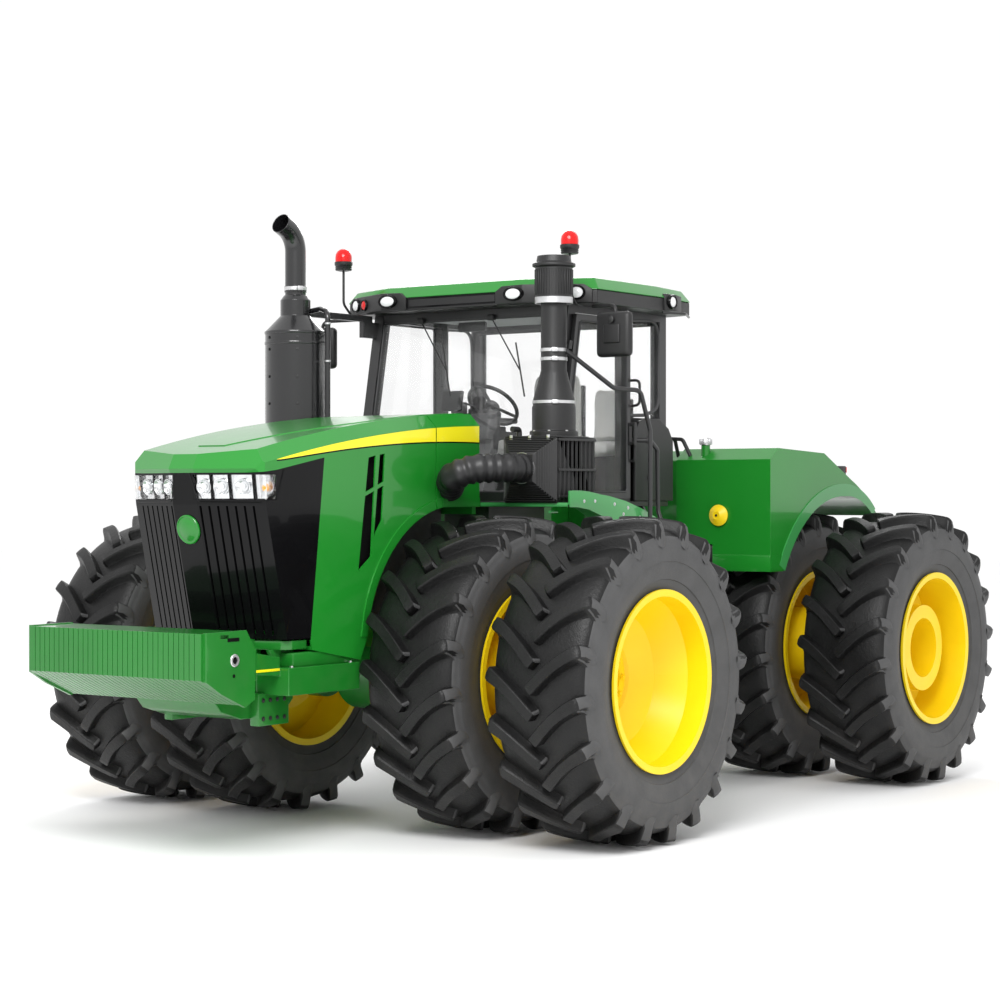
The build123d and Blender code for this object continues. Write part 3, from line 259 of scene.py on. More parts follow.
# near black: the radiator core's own colour, and painted shade behind the louvres and in the
# weights' holes
CORE_BLACK_AND_PAINTED_SHADE = finish_material("radiator_core", (0.003, 0.003, 0.003), 0.8, 0.6, 30.0, 0.1, 0.3,
                              90.0, Specular_IOR_Level=0.1)
SCREEN = finish_material("display_glass", (0.01, 0.02, 0.03), 0.08, 0.8, 5.0, 0.02,
                         Coat_Weight=1.0)
CLEAR = {"Transmission_Weight": 1.0, "IOR": 1.45}      # the smear is in the gloss alone
GLASS = finish_material("cab_glazing", (0.95, 0.97, 0.97), 0.015, 0.97, 2.0, 0.015, Alpha=0.06,
                        **CLEAR)
LENS = finish_material("lamp_lens", (0.97, 0.98, 1.0), 0.02, 0.97, 2.0, 0.015, Alpha=0.15,
                       **CLEAR)


def cloth_material(name, colour):
    """Woven upholstery with a soft sheen, and painted shade in the hollows of its weave."""
    material = finish_material(name, colour, 0.85, 0.85, 12.0, 0.1, Sheen_Weight=0.4)
    tree = material.node_tree
    shader = next(n for n in tree.nodes if n.type == "BSDF_PRINCIPLED")
    weave = add(tree, "ShaderNodeGroup", node_tree=WEAVE).outputs
    bumped(tree, shader, weave["Height"], 0.5, WEAVE_DEPTH)
    base = shader.inputs["Base Color"]
    # the weave's painted shade dims the base colour in its hollows
    feed(tree, base, dimmed(tree, base.links[0].from_socket, weave["Shade"]))
    return material


SEAT_CLOTH = cloth_material("seat_cloth", (0.86, 0.86, 0.83))


# ---- geometry trees ----------------------------------------------------------------------
def geometry_tree(name, *inputs):
    """An empty tree: the mesh goes in and comes out, beside named inputs and the finish."""
    tree = bpy.data.node_groups.new(name, "GeometryNodeTree")
    for label, kind in (("Geometry", "Geometry"), *inputs, ("Finish", "Material")):
        tree.interface.new_socket(label, in_out="INPUT", socket_type="NodeSocket" + kind)
    tree.interface.new_socket("Geometry", in_out="OUTPUT", socket_type="NodeSocketGeometry")
    return tree, tree.nodes.new("NodeGroupInput").outputs, tree.nodes.new("NodeGroupOutput").inputs


def close_tree(tree, given, out, geometry):
    """Ends a tree: instances become real, faces take the finish."""
    real = add(tree, "GeometryNodeRealizeInstances", {0: geometry})
    painted = add(tree, "GeometryNodeSetMaterial", {"Geometry": real.outputs[0],
                                                    "Material": given["Finish"]})
    feed(tree, out["Geometry"], painted.outputs[0])
    return tree


def copies(tree, points, instance, **turn):
    """The instance on every point, with the Rotation given."""
    return add(tree, "GeometryNodeInstanceOnPoints", {"Points": points, "Instance": instance,
                                                      **turn}).outputs[0]


def make_ring_tree():
    """Copies of the mesh, turned about the X axis in equal steps."""
    tree, given, out = geometry_tree("copies_round_axle", ("Count", "Int"))
    points = add(tree, "GeometryNodePoints", {"Count": given["Count"]})
    step = maths(tree, "DIVIDE", 2 * pi, given["Count"])
    index = add(tree, "GeometryNodeInputIndex").outputs[0]
    turn = add(tree, "ShaderNodeCombineXYZ", {"X": maths(tree, "MULTIPLY", step, index)})
    spin = add(tree, "FunctionNodeEulerToRotation", {0: turn.outputs[0]})
    return close_tree(tree, given, out, copies(tree, points.outputs[0], given["Geometry"],
                                               Rotation=spin.outputs[0]))


def make_row_tree():
    """Copies of the mesh in a row, one step apart."""
    tree, given, out = geometry_tree("copies_in_row", ("Count", "Int"), ("Step", "Vector"))
    line = add(tree, "GeometryNodeMeshLine", {"Count": given["Count"], "Offset": given["Step"]})
    return close_tree(tree, given, out, copies(tree, line.outputs[0], given["Geometry"]))


def make_stud_tree():
    """The stud stands on each point of the mesh, along the point's stored direction."""
    tree, given, out = geometry_tree("studs_on_points", ("Stud", "Object"))
    facing = add(tree, "GeometryNodeInputNamedAttribute", {"Name": "facing"},
                 data_type="FLOAT_VECTOR")
    aim = add(tree, "FunctionNodeAlignRotationToVector", {"Vector": facing.outputs[0]}, axis="Z")
    stud = add(tree, "GeometryNodeObjectInfo", {"Object": given["Stud"]})
    return close_tree(tree, given, out, copies(tree, given["Geometry"],
                                               stud.outputs["Geometry"],
                                               Rotation=aim.outputs[0]))


def make_hose_tree():
    """A ribbed hose along the curve."""
    tree, given, out = geometry_tree("ribbed_hose", ("Rings", "Int"), ("Radius", "Float"),
                                     ("Rib height", "Float"))
    line = add(tree, "GeometryNodeResampleCurve", {
        "Curve": given["Geometry"], "Count": maths(tree, "MULTIPLY", given["Rings"], 6)})
    index = add(tree, "GeometryNodeInputIndex").outputs[0]
    wave = maths(tree, "COSINE", maths(tree, "MULTIPLY", index, pi / 3))
    height = maths(tree, "MULTIPLY", wave, given["Rib height"])
    radius = maths(tree, "ADD", given["Radius"], height)
    circle = add(tree, "GeometryNodeCurvePrimitiveCircle", {"Resolution": 36, "Radius": 1.0})
    sized = add(tree, "GeometryNodeSetCurveRadius", {"Curve": line.outputs[0], "Radius": radius})
    tube = add(tree, "GeometryNodeCurveToMesh", {
        "Curve": sized.outputs[0], "Profile Curve": circle.outputs[0]})
    if "Scale" in tube.inputs:
        feed(tree, tube.inputs["Scale"], radius)
    return close_tree(tree, given, out, tube.outputs[0])


RING_TREE, ROW_TREE, STUD_TREE = make_ring_tree(), make_row_tree(), make_stud_tree()
HOSE_TREE = make_hose_tree()


def evaluated(thing):
    """The plain mesh of an object after its modifiers; the object is removed."""
    graph = bpy.context.evaluated_depsgraph_get()
    mesh = bpy.data.meshes.new_from_object(thing.evaluated_get(graph))
    bpy.data.objects.remove(thing)
    return mesh


def grown(data, tree, **values):
    """The plain mesh that a tree makes of a mesh or curve; _ stands for a space in a name."""
    source = object_of(data)
    modifier = source.modifiers.new("tree", "NODES")
    modifier.node_group = tree
    for item in tree.interface.items_tree:
        key = item.name.replace(" ", "_")
        if item.in_out == "INPUT" and key in values:
            modifier[item.identifier] = values[key]
    return evaluated(source)


# ---- mesh makers (millimetres from the front axle, placed by piece) ----------------------
MACHINE = Matrix.Translation(at(0, 0, 0)) @ Matrix.Scale(0.001, 4)
EYE = Matrix.Identity(4)
UP = Matrix.Rotation(-pi / 2, 4, "Y")          # turns the X axis to Z
BACK = Matrix.Rotation(pi / 2, 4, "Z")         # turns the X axis to Y
AHEAD = Matrix.Rotation(-pi / 2, 4, "Z")       # turns the X axis to -Y
RAY_START, RAY_REACH = 0.12, 0.3               # metres before the point, and metres run
SAME_PLACE, SAME_PLANE = 2e-5, radians(0.6)    # corners and faces that are one on a CAD node


def new_mesh(verts, faces):
    mesh = bpy.data.meshes.new("mesh")
    mesh.from_pydata([tuple(v) for v in verts], [], [tuple(f) for f in faces])
    return mesh


def skin(rings, capped=True, closed=False):
    """Faces through rings of equally many corners; capped ends, or a closed loop of rings."""
    count = len(rings[0])
    verts = [corner for ring in rings for corner in ring]
    faces = []
    for i in range(len(rings) - (not closed)):
        a, b = i * count, (i + 1) % len(rings) * count
        faces += [(a + k, a + (k + 1) % count, b + (k + 1) % count, b + k) for k in range(count)]
    if capped:
        end = len(verts) - 1
        faces += [(0, *range(count - 1, 0, -1)), (end, *range(end + 1 - count, end))]
    return new_mesh(verts, faces)


def tidy(mesh, merge=1e-4):
    """Merges doubled corners and turns every face outwards."""
    bm = bmesh.new()
    bm.from_mesh(mesh)
    bmesh.ops.remove_doubles(bm, verts=bm.verts, dist=merge)
    bmesh.ops.recalc_face_normals(bm, faces=bm.faces)
    bm.to_mesh(mesh)
    bm.free()
    return mesh


def object_of(mesh, name="scratch"):
    thing = bpy.data.objects.new(name, mesh)
    bpy.context.scene.collection.objects.link(thing)
    return thing


def with_modifier(mesh, kind, **values):
    """The mesh after one modifier."""
    thing = object_of(mesh)
    modifier = thing.modifiers.new("m", kind)
    for key, value in values.items():
        setattr(modifier, key, value)
    return evaluated(thing)


def rounded(mesh, edge, steps, angle=30):
    """The mesh with its edges rounded; an edge of 0 leaves it as it is."""
    return with_modifier(mesh, "BEVEL", width=edge, segments=steps, limit_method="ANGLE",
                         angle_limit=radians(angle), use_clamp_overlap=True,
                         miter_outer="MITER_ARC") if edge else mesh


def joined(*meshes):
    """Several meshes as one."""
    bm = bmesh.new()
    for mesh in meshes:
        bm.from_mesh(mesh)
    made = bpy.data.meshes.new("joined")
    bm.to_mesh(made)
    bm.free()
    return made


def moved(mesh, x=0, y=0, z=0, turn=EYE):
    """A copy of the mesh, turned and then moved."""
    made = mesh.copy()
    made.transform(Matrix.Translation((x, y, z)) @ turn)
    return made


def mirrored(mesh):
    """The mesh's image across the machine's middle plane, faces still outwards."""
    made = mesh.copy()
    made.transform(Matrix.Diagonal((-1, 1, 1, 1)))
    made.flip_normals()
    return made


def both(*meshes):
    """The meshes and their mirror images, as one."""
    mesh = joined(*meshes)
    return joined(mesh, mirrored(mesh))


def bar(x0, x1, y0, y1, z0, z1, edge, steps=2):
    """A block with rounded edges."""
    corners = [(x, y, z) for x in (x0, x1) for y in (y0, y1) for z in (z0, z1)]
    faces = [(0, 1, 3, 2), (4, 6, 7, 5), (0, 4, 5, 1), (2, 3, 7, 6), (0, 2, 6, 4), (1, 5, 7, 3)]
    return rounded(new_mesh(corners, faces), edge, steps)


def slab(points, low, high, axis="X", edge=0):
    """An outline pushed along an axis; its points are the other two, in X, Y, Z order."""
    place = {"X": lambda p, q, a: (a, p, q), "Y": lambda p, q, a: (p, a, q),
             "Z": lambda p, q, a: (p, q, a)}[axis]
    return rounded(tidy(skin([[place(p, q, a) for p, q in points] for a in (low, high)])), edge, 2)


def lathe(outline, segments):
    """A closed outline of (along, radius) turned about the X axis."""
    turns = [2 * pi * i / segments for i in range(segments)]
    rings = [[(x, -r * cos(a), r * sin(a)) for x, r in outline] for a in turns]
    return tidy(skin(rings, capped=False, closed=True), merge=1e-3)


def disc(outline, centre, turn, segments=48):
    """A lathed piece with its axis turned and its start put at centre."""
    return moved(lathe(outline, segments), *centre, turn)


def bent(points, bend, steps=8):
    """A polyline with its corners rounded to a bend radius, for rigid tubes."""
    points = [Vector(p) for p in points]
    line = [points[0]]
    for before, corner, after in zip(points, points[1:], points[2:]):
        back, on = (before - corner), (after - corner)
        reach = min(bend / np.tan(back.angle(on) / 2), back.length * 0.49, on.length * 0.49)
        start, end = corner + back.normalized() * reach, corner + on.normalized() * reach
        for i in range(steps + 1):
            t = i / steps
            line.append(start.lerp(corner, t).lerp(corner.lerp(end, t), t))
    return line + [points[-1]]


def tube(points, radius, bend, sides, capped=True):
    """A round tube along rounded straight runs; its radius may be a function of the share run."""
    line = bent(points, bend)
    rings = []
    normal = (line[1] - line[0]).orthogonal().normalized()
    for i, place in enumerate(line):
        ahead = line[min(i + 1, len(line) - 1)] - line[max(i - 1, 0)]
        ahead.normalize()
        normal = (normal - ahead * normal.dot(ahead)).normalized()
        side = ahead.cross(normal)
        size = radius(i / (len(line) - 1)) if callable(radius) else radius
        turns = [2 * pi * k / sides for k in range(sides)]
        rings.append([place + (normal * cos(a) + side * sin(a)) * size for a in turns])
    return skin(rings, capped)


def hex_head(size, height):
    """A hexagon bolt head on its washer, standing along Z."""
    def stack(sides, *levels):
        turns = [2 * pi * k / sides for k in range(sides)]
        return skin([[(r * cos(a), r * sin(a), z) for a in turns] for r, z in levels])
    return joined(stack(18, (1.35 * size, 0), (1.35 * size, height * 0.22)),
                  stack(6, (size, height * 0.2), (size, height * 0.85), (size * 0.85, height)))


def studs(points, facing, size, height):
    """Bolt heads at points, all facing one way or each its own."""
    guide = new_mesh(points, [])
    ways = [facing] * len(points) if isinstance(facing[0], (int, float)) else facing
    store = guide.attributes.new("facing", "FLOAT_VECTOR", "POINT")
    store.data.foreach_set("vector", [c for way in ways for c in way])
    stud = object_of(hex_head(size, height))
    made = grown(guide, STUD_TREE, Stud=stud, Finish=STEEL)
    bpy.data.objects.remove(stud)
    return made


def landed(node, points, way):
    """The points, moved along a direction until they lie on a CAD node's surface."""
    mesh = frame["nodes"][node].data
    tree = BVHTree.FromPolygons([v.co for v in mesh.vertices], [p.vertices for p in mesh.polygons])
    way = Vector(way)
    found = []
    for point in points:
        spot, normal, *_ = tree.ray_cast(at(*point) + way * RAY_START, -way, RAY_REACH)
        if spot and normal.dot(way) > 0.9:
            found.append(tuple((spot - at(0, 0, 0)) * 1000))
    return found


def smooth(mesh, angle):
    mesh.shade_smooth()
    mesh.set_sharp_from_angle(angle=radians(angle))


def covered(mesh, finish):
    """Puts one finish on every face."""
    mesh.materials.clear()
    mesh.materials.append(finish)
    mesh.polygons.foreach_set("material_index", [0] * len(mesh.polygons))


def piece(name, mesh, finish, body="front_half", replaces=(), angle=38, placed=False):
    """A finished piece: shaded, painted, riding on its body and named."""
    if placed:
        smooth(mesh, angle)
        mesh = with_modifier(mesh, "WEIGHTED_NORMAL", keep_sharp=True)
    else:
        mesh.transform(MACHINE)
    covered(mesh, finish)
    if not placed:
        smooth(mesh, angle)
    mesh.name = name
    thing = object_of(mesh, name)
    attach(thing, body)
    if replaces:
        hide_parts(*replaces)
    return thing


def merged_copy(node):
    """A CAD node's mesh with its loose triangles joined into flat faces."""
    bm = bmesh.new()
    bm.from_mesh(frame["nodes"][node].data)
    bmesh.ops.remove_doubles(bm, verts=bm.verts, dist=SAME_PLACE)
    bmesh.ops.dissolve_limit(bm, angle_limit=SAME_PLANE, verts=bm.verts, edges=bm.edges)
    mesh = bpy.data.meshes.new(node)
    bm.to_mesh(mesh)
    bm.free()
    return mesh


def dress(node, finish, edge):
    """Puts a finish on a CAD node: on a copy with rounded edges, or on the node as it is."""
    if edge:
        piece(node + "_dressed", rounded(merged_copy(node), edge, 2, 32), finish,
              BODY_OF[node], (node,), placed=True)
    else:
        covered(frame["nodes"][node].data, finish)


# ---- tyres -------------------------------------------------------------------------------
LUGS = 20
TYRE_HALF = 355            # half of the section's width
CROWN = 966                # radius between the lugs, at the middle
SHOULDER_X = 300           # from here outwards a lug turns down the side wall
SHOULDER_TURN = 0.45       # and runs at this angle round the tyre
# inside this radius, and on faces turned sideways, the rubber is painted paler: painted light
PAINTED_PALE_RADIUS = 0.893        # metres; inside it the rubber is paler, as on the side faces
# Half of the carcass, as (sideways, radius), from the crown to the bead.
CARCASS = (
    (0, CROWN), (120, 964), (200, 958), (262, 947), (304, 930), (328, 908), (339, 884),
    (342, 868), (346, 862), (352, 838), (355, 800), (353, 760), (352, 752), (347, 750),
    (343, 722), (334, 684), (322, 650), (320, 640), (310, 637), (301, 612), (293, 590),
    (291, 578), (288, 560), (284, 547),
)
# Stations along a lug: (sideways, back round the tyre, top radius, base radius, half width).
LUG_STATIONS = (
    (-16, -12, 1000, 950, 24), (-8, -6, 1024, 950, 31), (4, 5, 1029, 950, 34),
    (30, 32, 1030, 950, 34), (70, 71, 1030, 950, 33.5), (110, 108, 1029, 950, 33),
    (150, 142, 1028, 948, 33), (190, 173, 1026, 944, 34), (230, 200, 1023, 938, 35.5),
    (268, 223, 1019, 928, 37.5), (300, 240, 1014, 912, 39), (322, 250, 1007, 898, 40),
    (336, 256, 990, 880, 40), (346, 261, 955, 862, 38), (353, 265, 915, 850, 35),
    (355, 268, 880, 845, 31), (352, 270, 858, 842, 27),
)
# Across a lug: (share of the half width, share of the height), foot to foot.
LUG_SECTION = (
    (-2.10, -0.10), (-1.62, 0.05), (-1.34, 0.30), (-1.12, 0.78), (-1.02, 0.95), (-0.90, 1.0),
    (0.0, 1.0), (0.90, 1.0), (1.02, 0.95), (1.12, 0.78), (1.30, 0.30), (1.52, 0.05),
    (1.90, -0.10),
)


def wheel_pairs():
    """Each pair of wheels: its name, its side's sign, its axle's y and its tyres' middles."""
    for end, y in (("front", 0), ("rear", WHEELBASE * 1000)):
        for side, sign in (("left", 1), ("right", -1)):
            low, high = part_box(f"tyres_{end}_{side}")
            near = min(abs(low.x), abs(high.x)) * 1000 + TYRE_HALF
            far = near + (high.x - low.x) * 1000 - 2 * TYRE_HALF
            yield f"{end}_{side}", sign, y, near, far


def lug_mesh():
    """One lug of the left half, standing at the wheel's front."""
    line = [Vector((x, s)) for x, s, *_ in LUG_STATIONS]
    rings = []
    for i, (x, s, top, base, half) in enumerate(LUG_STATIONS):
        ahead = (line[min(i + 1, len(line) - 1)] - line[max(i - 1, 0)]).normalized()
        if x > SHOULDER_X:
            ahead = Vector((cos(SHOULDER_TURN), sin(SHOULDER_TURN)))
        across = Vector((-ahead.y, ahead.x))
        ring = []
        for share, lift in LUG_SECTION:
            spot = line[i] + across * half * share
            radius = base + (top - base) * lift
            angle = spot.y / TYRE_RADIUS / 1000
            side = min(spot.x, x + 6) if x > SHOULDER_X else spot.x
            ring.append((side, -radius * cos(angle), radius * sin(angle)))
        rings.append(ring)
    return tidy(skin(rings))


def tyre_mesh():
    """Carcass and its two interlocking rows of lugs."""
    carcass = lathe(CARCASS + tuple((-x, r) for x, r in CARCASS[:0:-1]), 100)
    lug = lug_mesh()
    pair = joined(lug, moved(mirrored(lug), turn=Matrix.Rotation(-pi / LUGS, 4, "X")))
    return joined(carcass, grown(pair, RING_TREE, Count=LUGS, Finish=RUBBER))


def make_tyres():
    tyre = tyre_mesh()
    for pair_name, sign, y, near, far in wheel_pairs():
        node = "tyres_" + pair_name
        pair = joined(*[moved(tyre, centre, y) for centre in (near, far)])
        tyres = piece("lugged_" + node, pair if sign > 0 else mirrored(pair), RUBBER,
                      BODY_OF[node], (node,), 32)
        tyres.data.materials.append(PAINTED_LIGHT_SIDEWALL)
        # faces on the tyre's side take the paler rubber: painted light
        for face in tyres.data.polygons:
            middle = face.center - at(0, y, 0)
            if middle.yz.length < PAINTED_PALE_RADIUS or abs(face.normal.x) > 0.8:
                face.material_index = 1


make_tyres()


# ---- CAD nodes with their finishes and the rounding of their edges in millimetres --------
for names, finish, edge in (
    ("rims_front_left rims_front_right rims_rear_left rims_rear_right", YELLOW, 0),
    ("front_frame rear_frame", FRAME_GREEN, 4),
    ("front_axle rear_axle weight_bracket", FRAME_GREEN, 6),
    ("front_weights", FRAME_GREEN, 3),
    # the front fenders take the lighter green: painted highlight
    ("hood cowl", GREEN, 0), ("grille", GLOSS_BLACK, 0), ("front_fenders", PAINTED_LIT_GREEN, 3),
    ("fuel_tanks tank_bridge", GREEN, 8), ("roof_cap", GREEN, 10), ("roof_fascia", PLASTIC, 8),
    ("cab_base", BLACK_PAINT, 4), ("cab_frame", BLACK_PAINT, 0), ("cab_glass", GLASS, 0),
    ("cab_covers", PLASTIC, 6), ("door_frame", BLACK_PAINT, 0), ("door_glass", GLASS, 0),
    ("door_handle", PLASTIC, 4), ("engine_block", IRON, 6), ("radiator", CORE_BLACK_AND_PAINTED_SHADE, 0),
    ("exhaust_stack", EXHAUST_BLACK, 2), ("exhaust_bracket", BLACK_PAINT, 3),
    ("air_cleaner", PLASTIC, 4), ("intake_stack", PLASTIC, 3), ("access_steps", BLACK_PAINT, 0),
    ("seat_base", PLASTIC, 10), ("controls", DARK_TRIM, 10), ("rear_lamps", RED_LENS, 4),
    ("drawbar", BLACK_PAINT, 3), ("drawbar_support", BLACK_PAINT, 4),
    ("hydraulic_outlets", BLACK_PAINT, 3),
    ("steering_barrel_left steering_barrel_right", BLACK_PAINT, 2),
    ("steering_rod_left steering_rod_right", CHROME, 0),
):
    for node in names.split():
        dress(node, finish, edge / 1000)

# ---- hood and nose -----------------------------------------------------------------------
NOSE_LINE = ((280, -1740), (1104, -1925), (1297, -1950), (1322, -1965), (1412, -1920))
PROW_HALF, PROW_SWEEP = 100, 0.29
SHOULDER = 80              # height of the bevel between the hood's side and its top
HOOD_SEAM = (-155, -145)   # the hood's rear edge and the cowl's front edge
HOOD_HALF, NOSE_HALF = 575, 545
TAPER_FROM, TAPER_TO = -700, -1805         # the hood narrows between these, towards the nose
STRIPE_FRONT, STRIPE_RUN, STRIPE_DEPTH = -1700, 2030, 108
PANEL_HALF, PANEL_TIP, PANEL_FRONT, PANEL_SPREAD = 448, 110, -1706, 0.36
SUNK = 2                   # how deep a band's back lies in the panel


def arc_through(a, b, c):
    """Centre and radius of the circle through three points."""
    (x1, y1), (x2, y2), (x3, y3) = a, b, c
    d = 2 * (x1 * (y2 - y3) + x2 * (y3 - y1) + x3 * (y1 - y2))
    s1, s2, s3 = x1 * x1 + y1 * y1, x2 * x2 + y2 * y2, x3 * x3 + y3 * y3
    ux = (s1 * (y2 - y3) + s2 * (y3 - y1) + s3 * (y1 - y2)) / d
    uy = (s1 * (x3 - x2) + s2 * (x1 - x3) + s3 * (x2 - x1)) / d
    return ux, uy, ((x1 - ux) ** 2 + (y1 - uy) ** 2) ** 0.5


TOP_Y, TOP_Z, TOP_R = arc_through((-1920, 1412), (-700, 1635), (330, 1712))
ARCH_Y, ARCH_Z, ARCH_R = arc_through((-90, 1080), (-560, 860), (-870, 240))


def hood_top(y):
    return TOP_Z + (TOP_R ** 2 - (y - TOP_Y) ** 2) ** 0.5


def hood_side(y):
    if y > TAPER_FROM:
        return HOOD_HALF
    return NOSE_HALF + (HOOD_HALF - NOSE_HALF) * (y - TAPER_TO) / (TAPER_FROM - TAPER_TO)


def nose_y(x, z):
    """The nose's outer face at a sideways place and a height."""
    line = float(np.interp(z, [p[0] for p in NOSE_LINE], [p[1] for p in NOSE_LINE]))
    return line + PROW_SWEEP * max(0, abs(x) - PROW_HALF)


def strip(rows):
    """A closed thin strip through rows of four corners."""
    return tidy(skin(rows))


def spaced(first, last, count):
    return [first + (last - first) * i / count for i in range(count + 1)]


def side_band(y0, y1, low, high, proud, count=40):
    """A band on the hood's upright side between two curves of height."""
    rows = []
    for y in spaced(y0, y1, count):
        sides = (hood_side(y) - SUNK, hood_side(y) + proud)
        rows.append([(x, y, low(y)) for x in sides] + [(x, y, high(y)) for x in sides[::-1]])
    return strip(rows)


def stripe_high(y):
    return hood_top(y) - SHOULDER - 4


def stripe_low(y):
    return stripe_high(y) - 2 - STRIPE_DEPTH * max(0, (y - STRIPE_FRONT) / STRIPE_RUN) ** 0.72


def arch_band(y0, y1, breadth, proud, count):
    """A raised lip along the wheel arch, from y0 to y1."""
    rows = []
    for y in spaced(y0, y1, count):
        z = ARCH_Z + (ARCH_R ** 2 - (y - ARCH_Y) ** 2) ** 0.5
        away = Vector((y - ARCH_Y, z - ARCH_Z)).normalized() * breadth
        inner, outer = hood_side(y) - SUNK, hood_side(y) + proud
        rows.append([(inner, y, z), (outer, y, z), (outer, y + away.x, z + away.y),
                     (inner, y + away.x, z + away.y)])
    return strip(rows)


def top_panel(y0, y1, lift, count):
    """The raised middle of the hood's top."""
    rows = []
    for y in spaced(y0, y1, count):
        half = min(PANEL_HALF, PANEL_TIP + (y - PANEL_FRONT) * PANEL_SPREAD)
        z = hood_top(y)
        rows.append([(-half, y, z - 4), (half, y, z - 4), (half - 8, y, z + lift),
                     (-half + 8, y, z + lift)])
    return strip(rows)


for body, part, y0, y1 in (("hood", "hood", -1700, HOOD_SEAM[0]),
                           ("front_half", "cowl", HOOD_SEAM[1], 326)):
    piece(part + "_stripe", both(side_band(y0, y1, stripe_low, stripe_high, 1.2)), STRIPE,
          body)
    piece(part + "_stripe_edge", both(side_band(y0, y1, lambda y: stripe_low(y) - 9,
                                                lambda y: stripe_low(y) - 1, 1.0)), GLOSS_BLACK,
          body)
piece("hood_top_panel", top_panel(-1690, HOOD_SEAM[0], 5, 30), GREEN, "hood")
piece("cowl_top_panel", top_panel(HOOD_SEAM[1], 322, 5, 8), GREEN)
piece("hood_arch_lip", both(arch_band(-868, -157, 60, 8, 26)), GREEN, "hood")
piece("cowl_arch_lip", both(arch_band(-144, -92, 60, 8, 4),
                            side_band(-92, 326, lambda y: 1084, lambda y: 1144, 8, 10)), GREEN)
# a black sheet behind the hood's side louvres: painted shade seen through the slots
louvre_shade_sheet = slab([(-965, 650), (-880, 1440), (-670, 1460), (-690, 850), (-840, 650)], 520, 526)
piece("louvre_backs", both(louvre_shade_sheet), CORE_BLACK_AND_PAINTED_SHADE, "hood")
sill_plan = [(-545, -1420), (-545, -1560), (-500, -1612), (-100, -1730), (100, -1730), (500, -1612),
             (545, -1560), (545, -1420)]
piece("nose_sill", slab(sill_plan, 214, 272, "Z", 8), FRAME_GREEN)
piece("hood_side_sills", both(bar(430, 552, -1560, -990, 108, 196, 10)), FRAME_GREEN)
piece("sill_webs", both(slab([(-1610, 112), (-1440, 112), (-1440, 216), (-1660, 216)], 420, 450,
                             "X", 4)), FRAME_GREEN)


# ---- lamps in the nose -------------------------------------------------------------------
def nose_patch(outline, deep, proud):
    """A plate on one swept half of the nose; its outline is (sideways, up)."""
    return tidy(skin([[(x, nose_y(x, z) + back, z) for x, z in outline]
                      for back in (deep, -proud)]))


def upright_patch(x0, x1, deep, proud):
    """A nose patch as high as the lamps."""
    return nose_patch([(x0, LAMP_LOW), (x1, LAMP_LOW), (x1, LAMP_HIGH), (x0, LAMP_HIGH)], deep,
                      proud)


NOSE_OUT = Vector((PROW_SWEEP, -1, -0.1295)).normalized()
NOSE_TURN = NOSE_OUT.to_track_quat("X", "Z").to_matrix().to_4x4()
LAMP_LOW, LAMP_HIGH = 1136, 1284
CELLS = ((98, 192), (202, 311), (321, 466))      # each lamp's reach sideways
BULB_Z = 1211


def reflector(x, z, radius):
    """A bowl that faces out of the nose, with its bulb shade."""
    bowl = [(-26, 0), (-26, radius * 0.3), (-20, radius * 0.62), (-10, radius * 0.88), (0, radius),
            (0, radius + 3), (-12, radius + 1), (-29, radius * 0.5), (-29, 0)]
    shade = [(-24, 0), (-24, 6), (-12, radius * 0.34), (-7, radius * 0.30), (-4, radius * 0.18),
             (-3, 0)]
    place = (x, nose_y(x, z) + 3, z)
    return disc(bowl, place, NOSE_TURN, 40), disc(shade, place, NOSE_TURN, 28)


bowls, shades, walls, floors = [], [], [], []
for x0, x1 in CELLS:
    bowl, shade = reflector((x0 + x1) / 2 + 6, BULB_Z, min(48, (x1 - x0) / 2 - 2))
    bowls.append(bowl)
    shades.append(shade)
    floors.append(upright_patch(x0, x1, 29, -24))
    walls.append(upright_patch(x1, x1 + 9, 28, -4))
inner_wall = nose_patch([(76, LAMP_LOW), (98, LAMP_LOW), (84, LAMP_HIGH), (76, LAMP_HIGH)], 28, 0)
corner_back = slab([(-1812, LAMP_LOW + 8), (-1702, LAMP_LOW + 40), (-1702, LAMP_HIGH),
                    (-1824, LAMP_HIGH)], 515, 519)
corner_front = upright_patch(478, 538, 29, -25)
corner_bowl = disc([(-26, 0), (-26, 16), (-14, 34), (0, 42), (0, 45), (-14, 38), (-29, 18),
                    (-29, 0)], (520, -1765, 1212), Matrix.Rotation(-radians(38), 4, "Z"), 36)
amber = disc([(-20, 0), (-20, 20), (-6, 27), (10, 20), (18, 0)], (522, -1778, 1206),
             Matrix.Rotation(-radians(45), 4, "Z"), 28)
piece("headlamp_reflectors", both(*bowls, *floors, corner_back, corner_front, corner_bowl),
      REFLECTOR, "hood", ("headlamps",))
piece("headlamp_bulbs", both(*shades), LAMP_WHITE, "hood")
piece("headlamp_bezels", both(*walls, inner_wall), GLOSS_BLACK, "hood")
piece("turn_lamps", both(amber), AMBER_LENS, "hood")
front_glass = nose_patch([(84, LAMP_LOW), (541, LAMP_LOW), (541, LAMP_HIGH), (76, LAMP_HIGH)], 2.5,
                         0)
side_glass = slab([(-1808, LAMP_LOW), (-1701, LAMP_LOW), (-1701, LAMP_HIGH), (-1806, LAMP_HIGH)],
                  543, 545.5)
piece("headlamp_glass", both(front_glass, side_glass), LENS, "hood")

# a bare round boss on the flat middle of the nose
boss = [(-4, 0), (-4, 92), (9, 92), (13, 89), (14, 84), (11, 80), (11, 66), (13, 62), (14, 0)]
BOSS_TURN = Vector((0, -1, -0.2245)).to_track_quat("X", "Z").to_matrix().to_4x4()
piece("nose_boss", disc(boss, (0, nose_y(0, 951), 951), BOSS_TURN, 64), GREEN, "hood",
      angle=30)
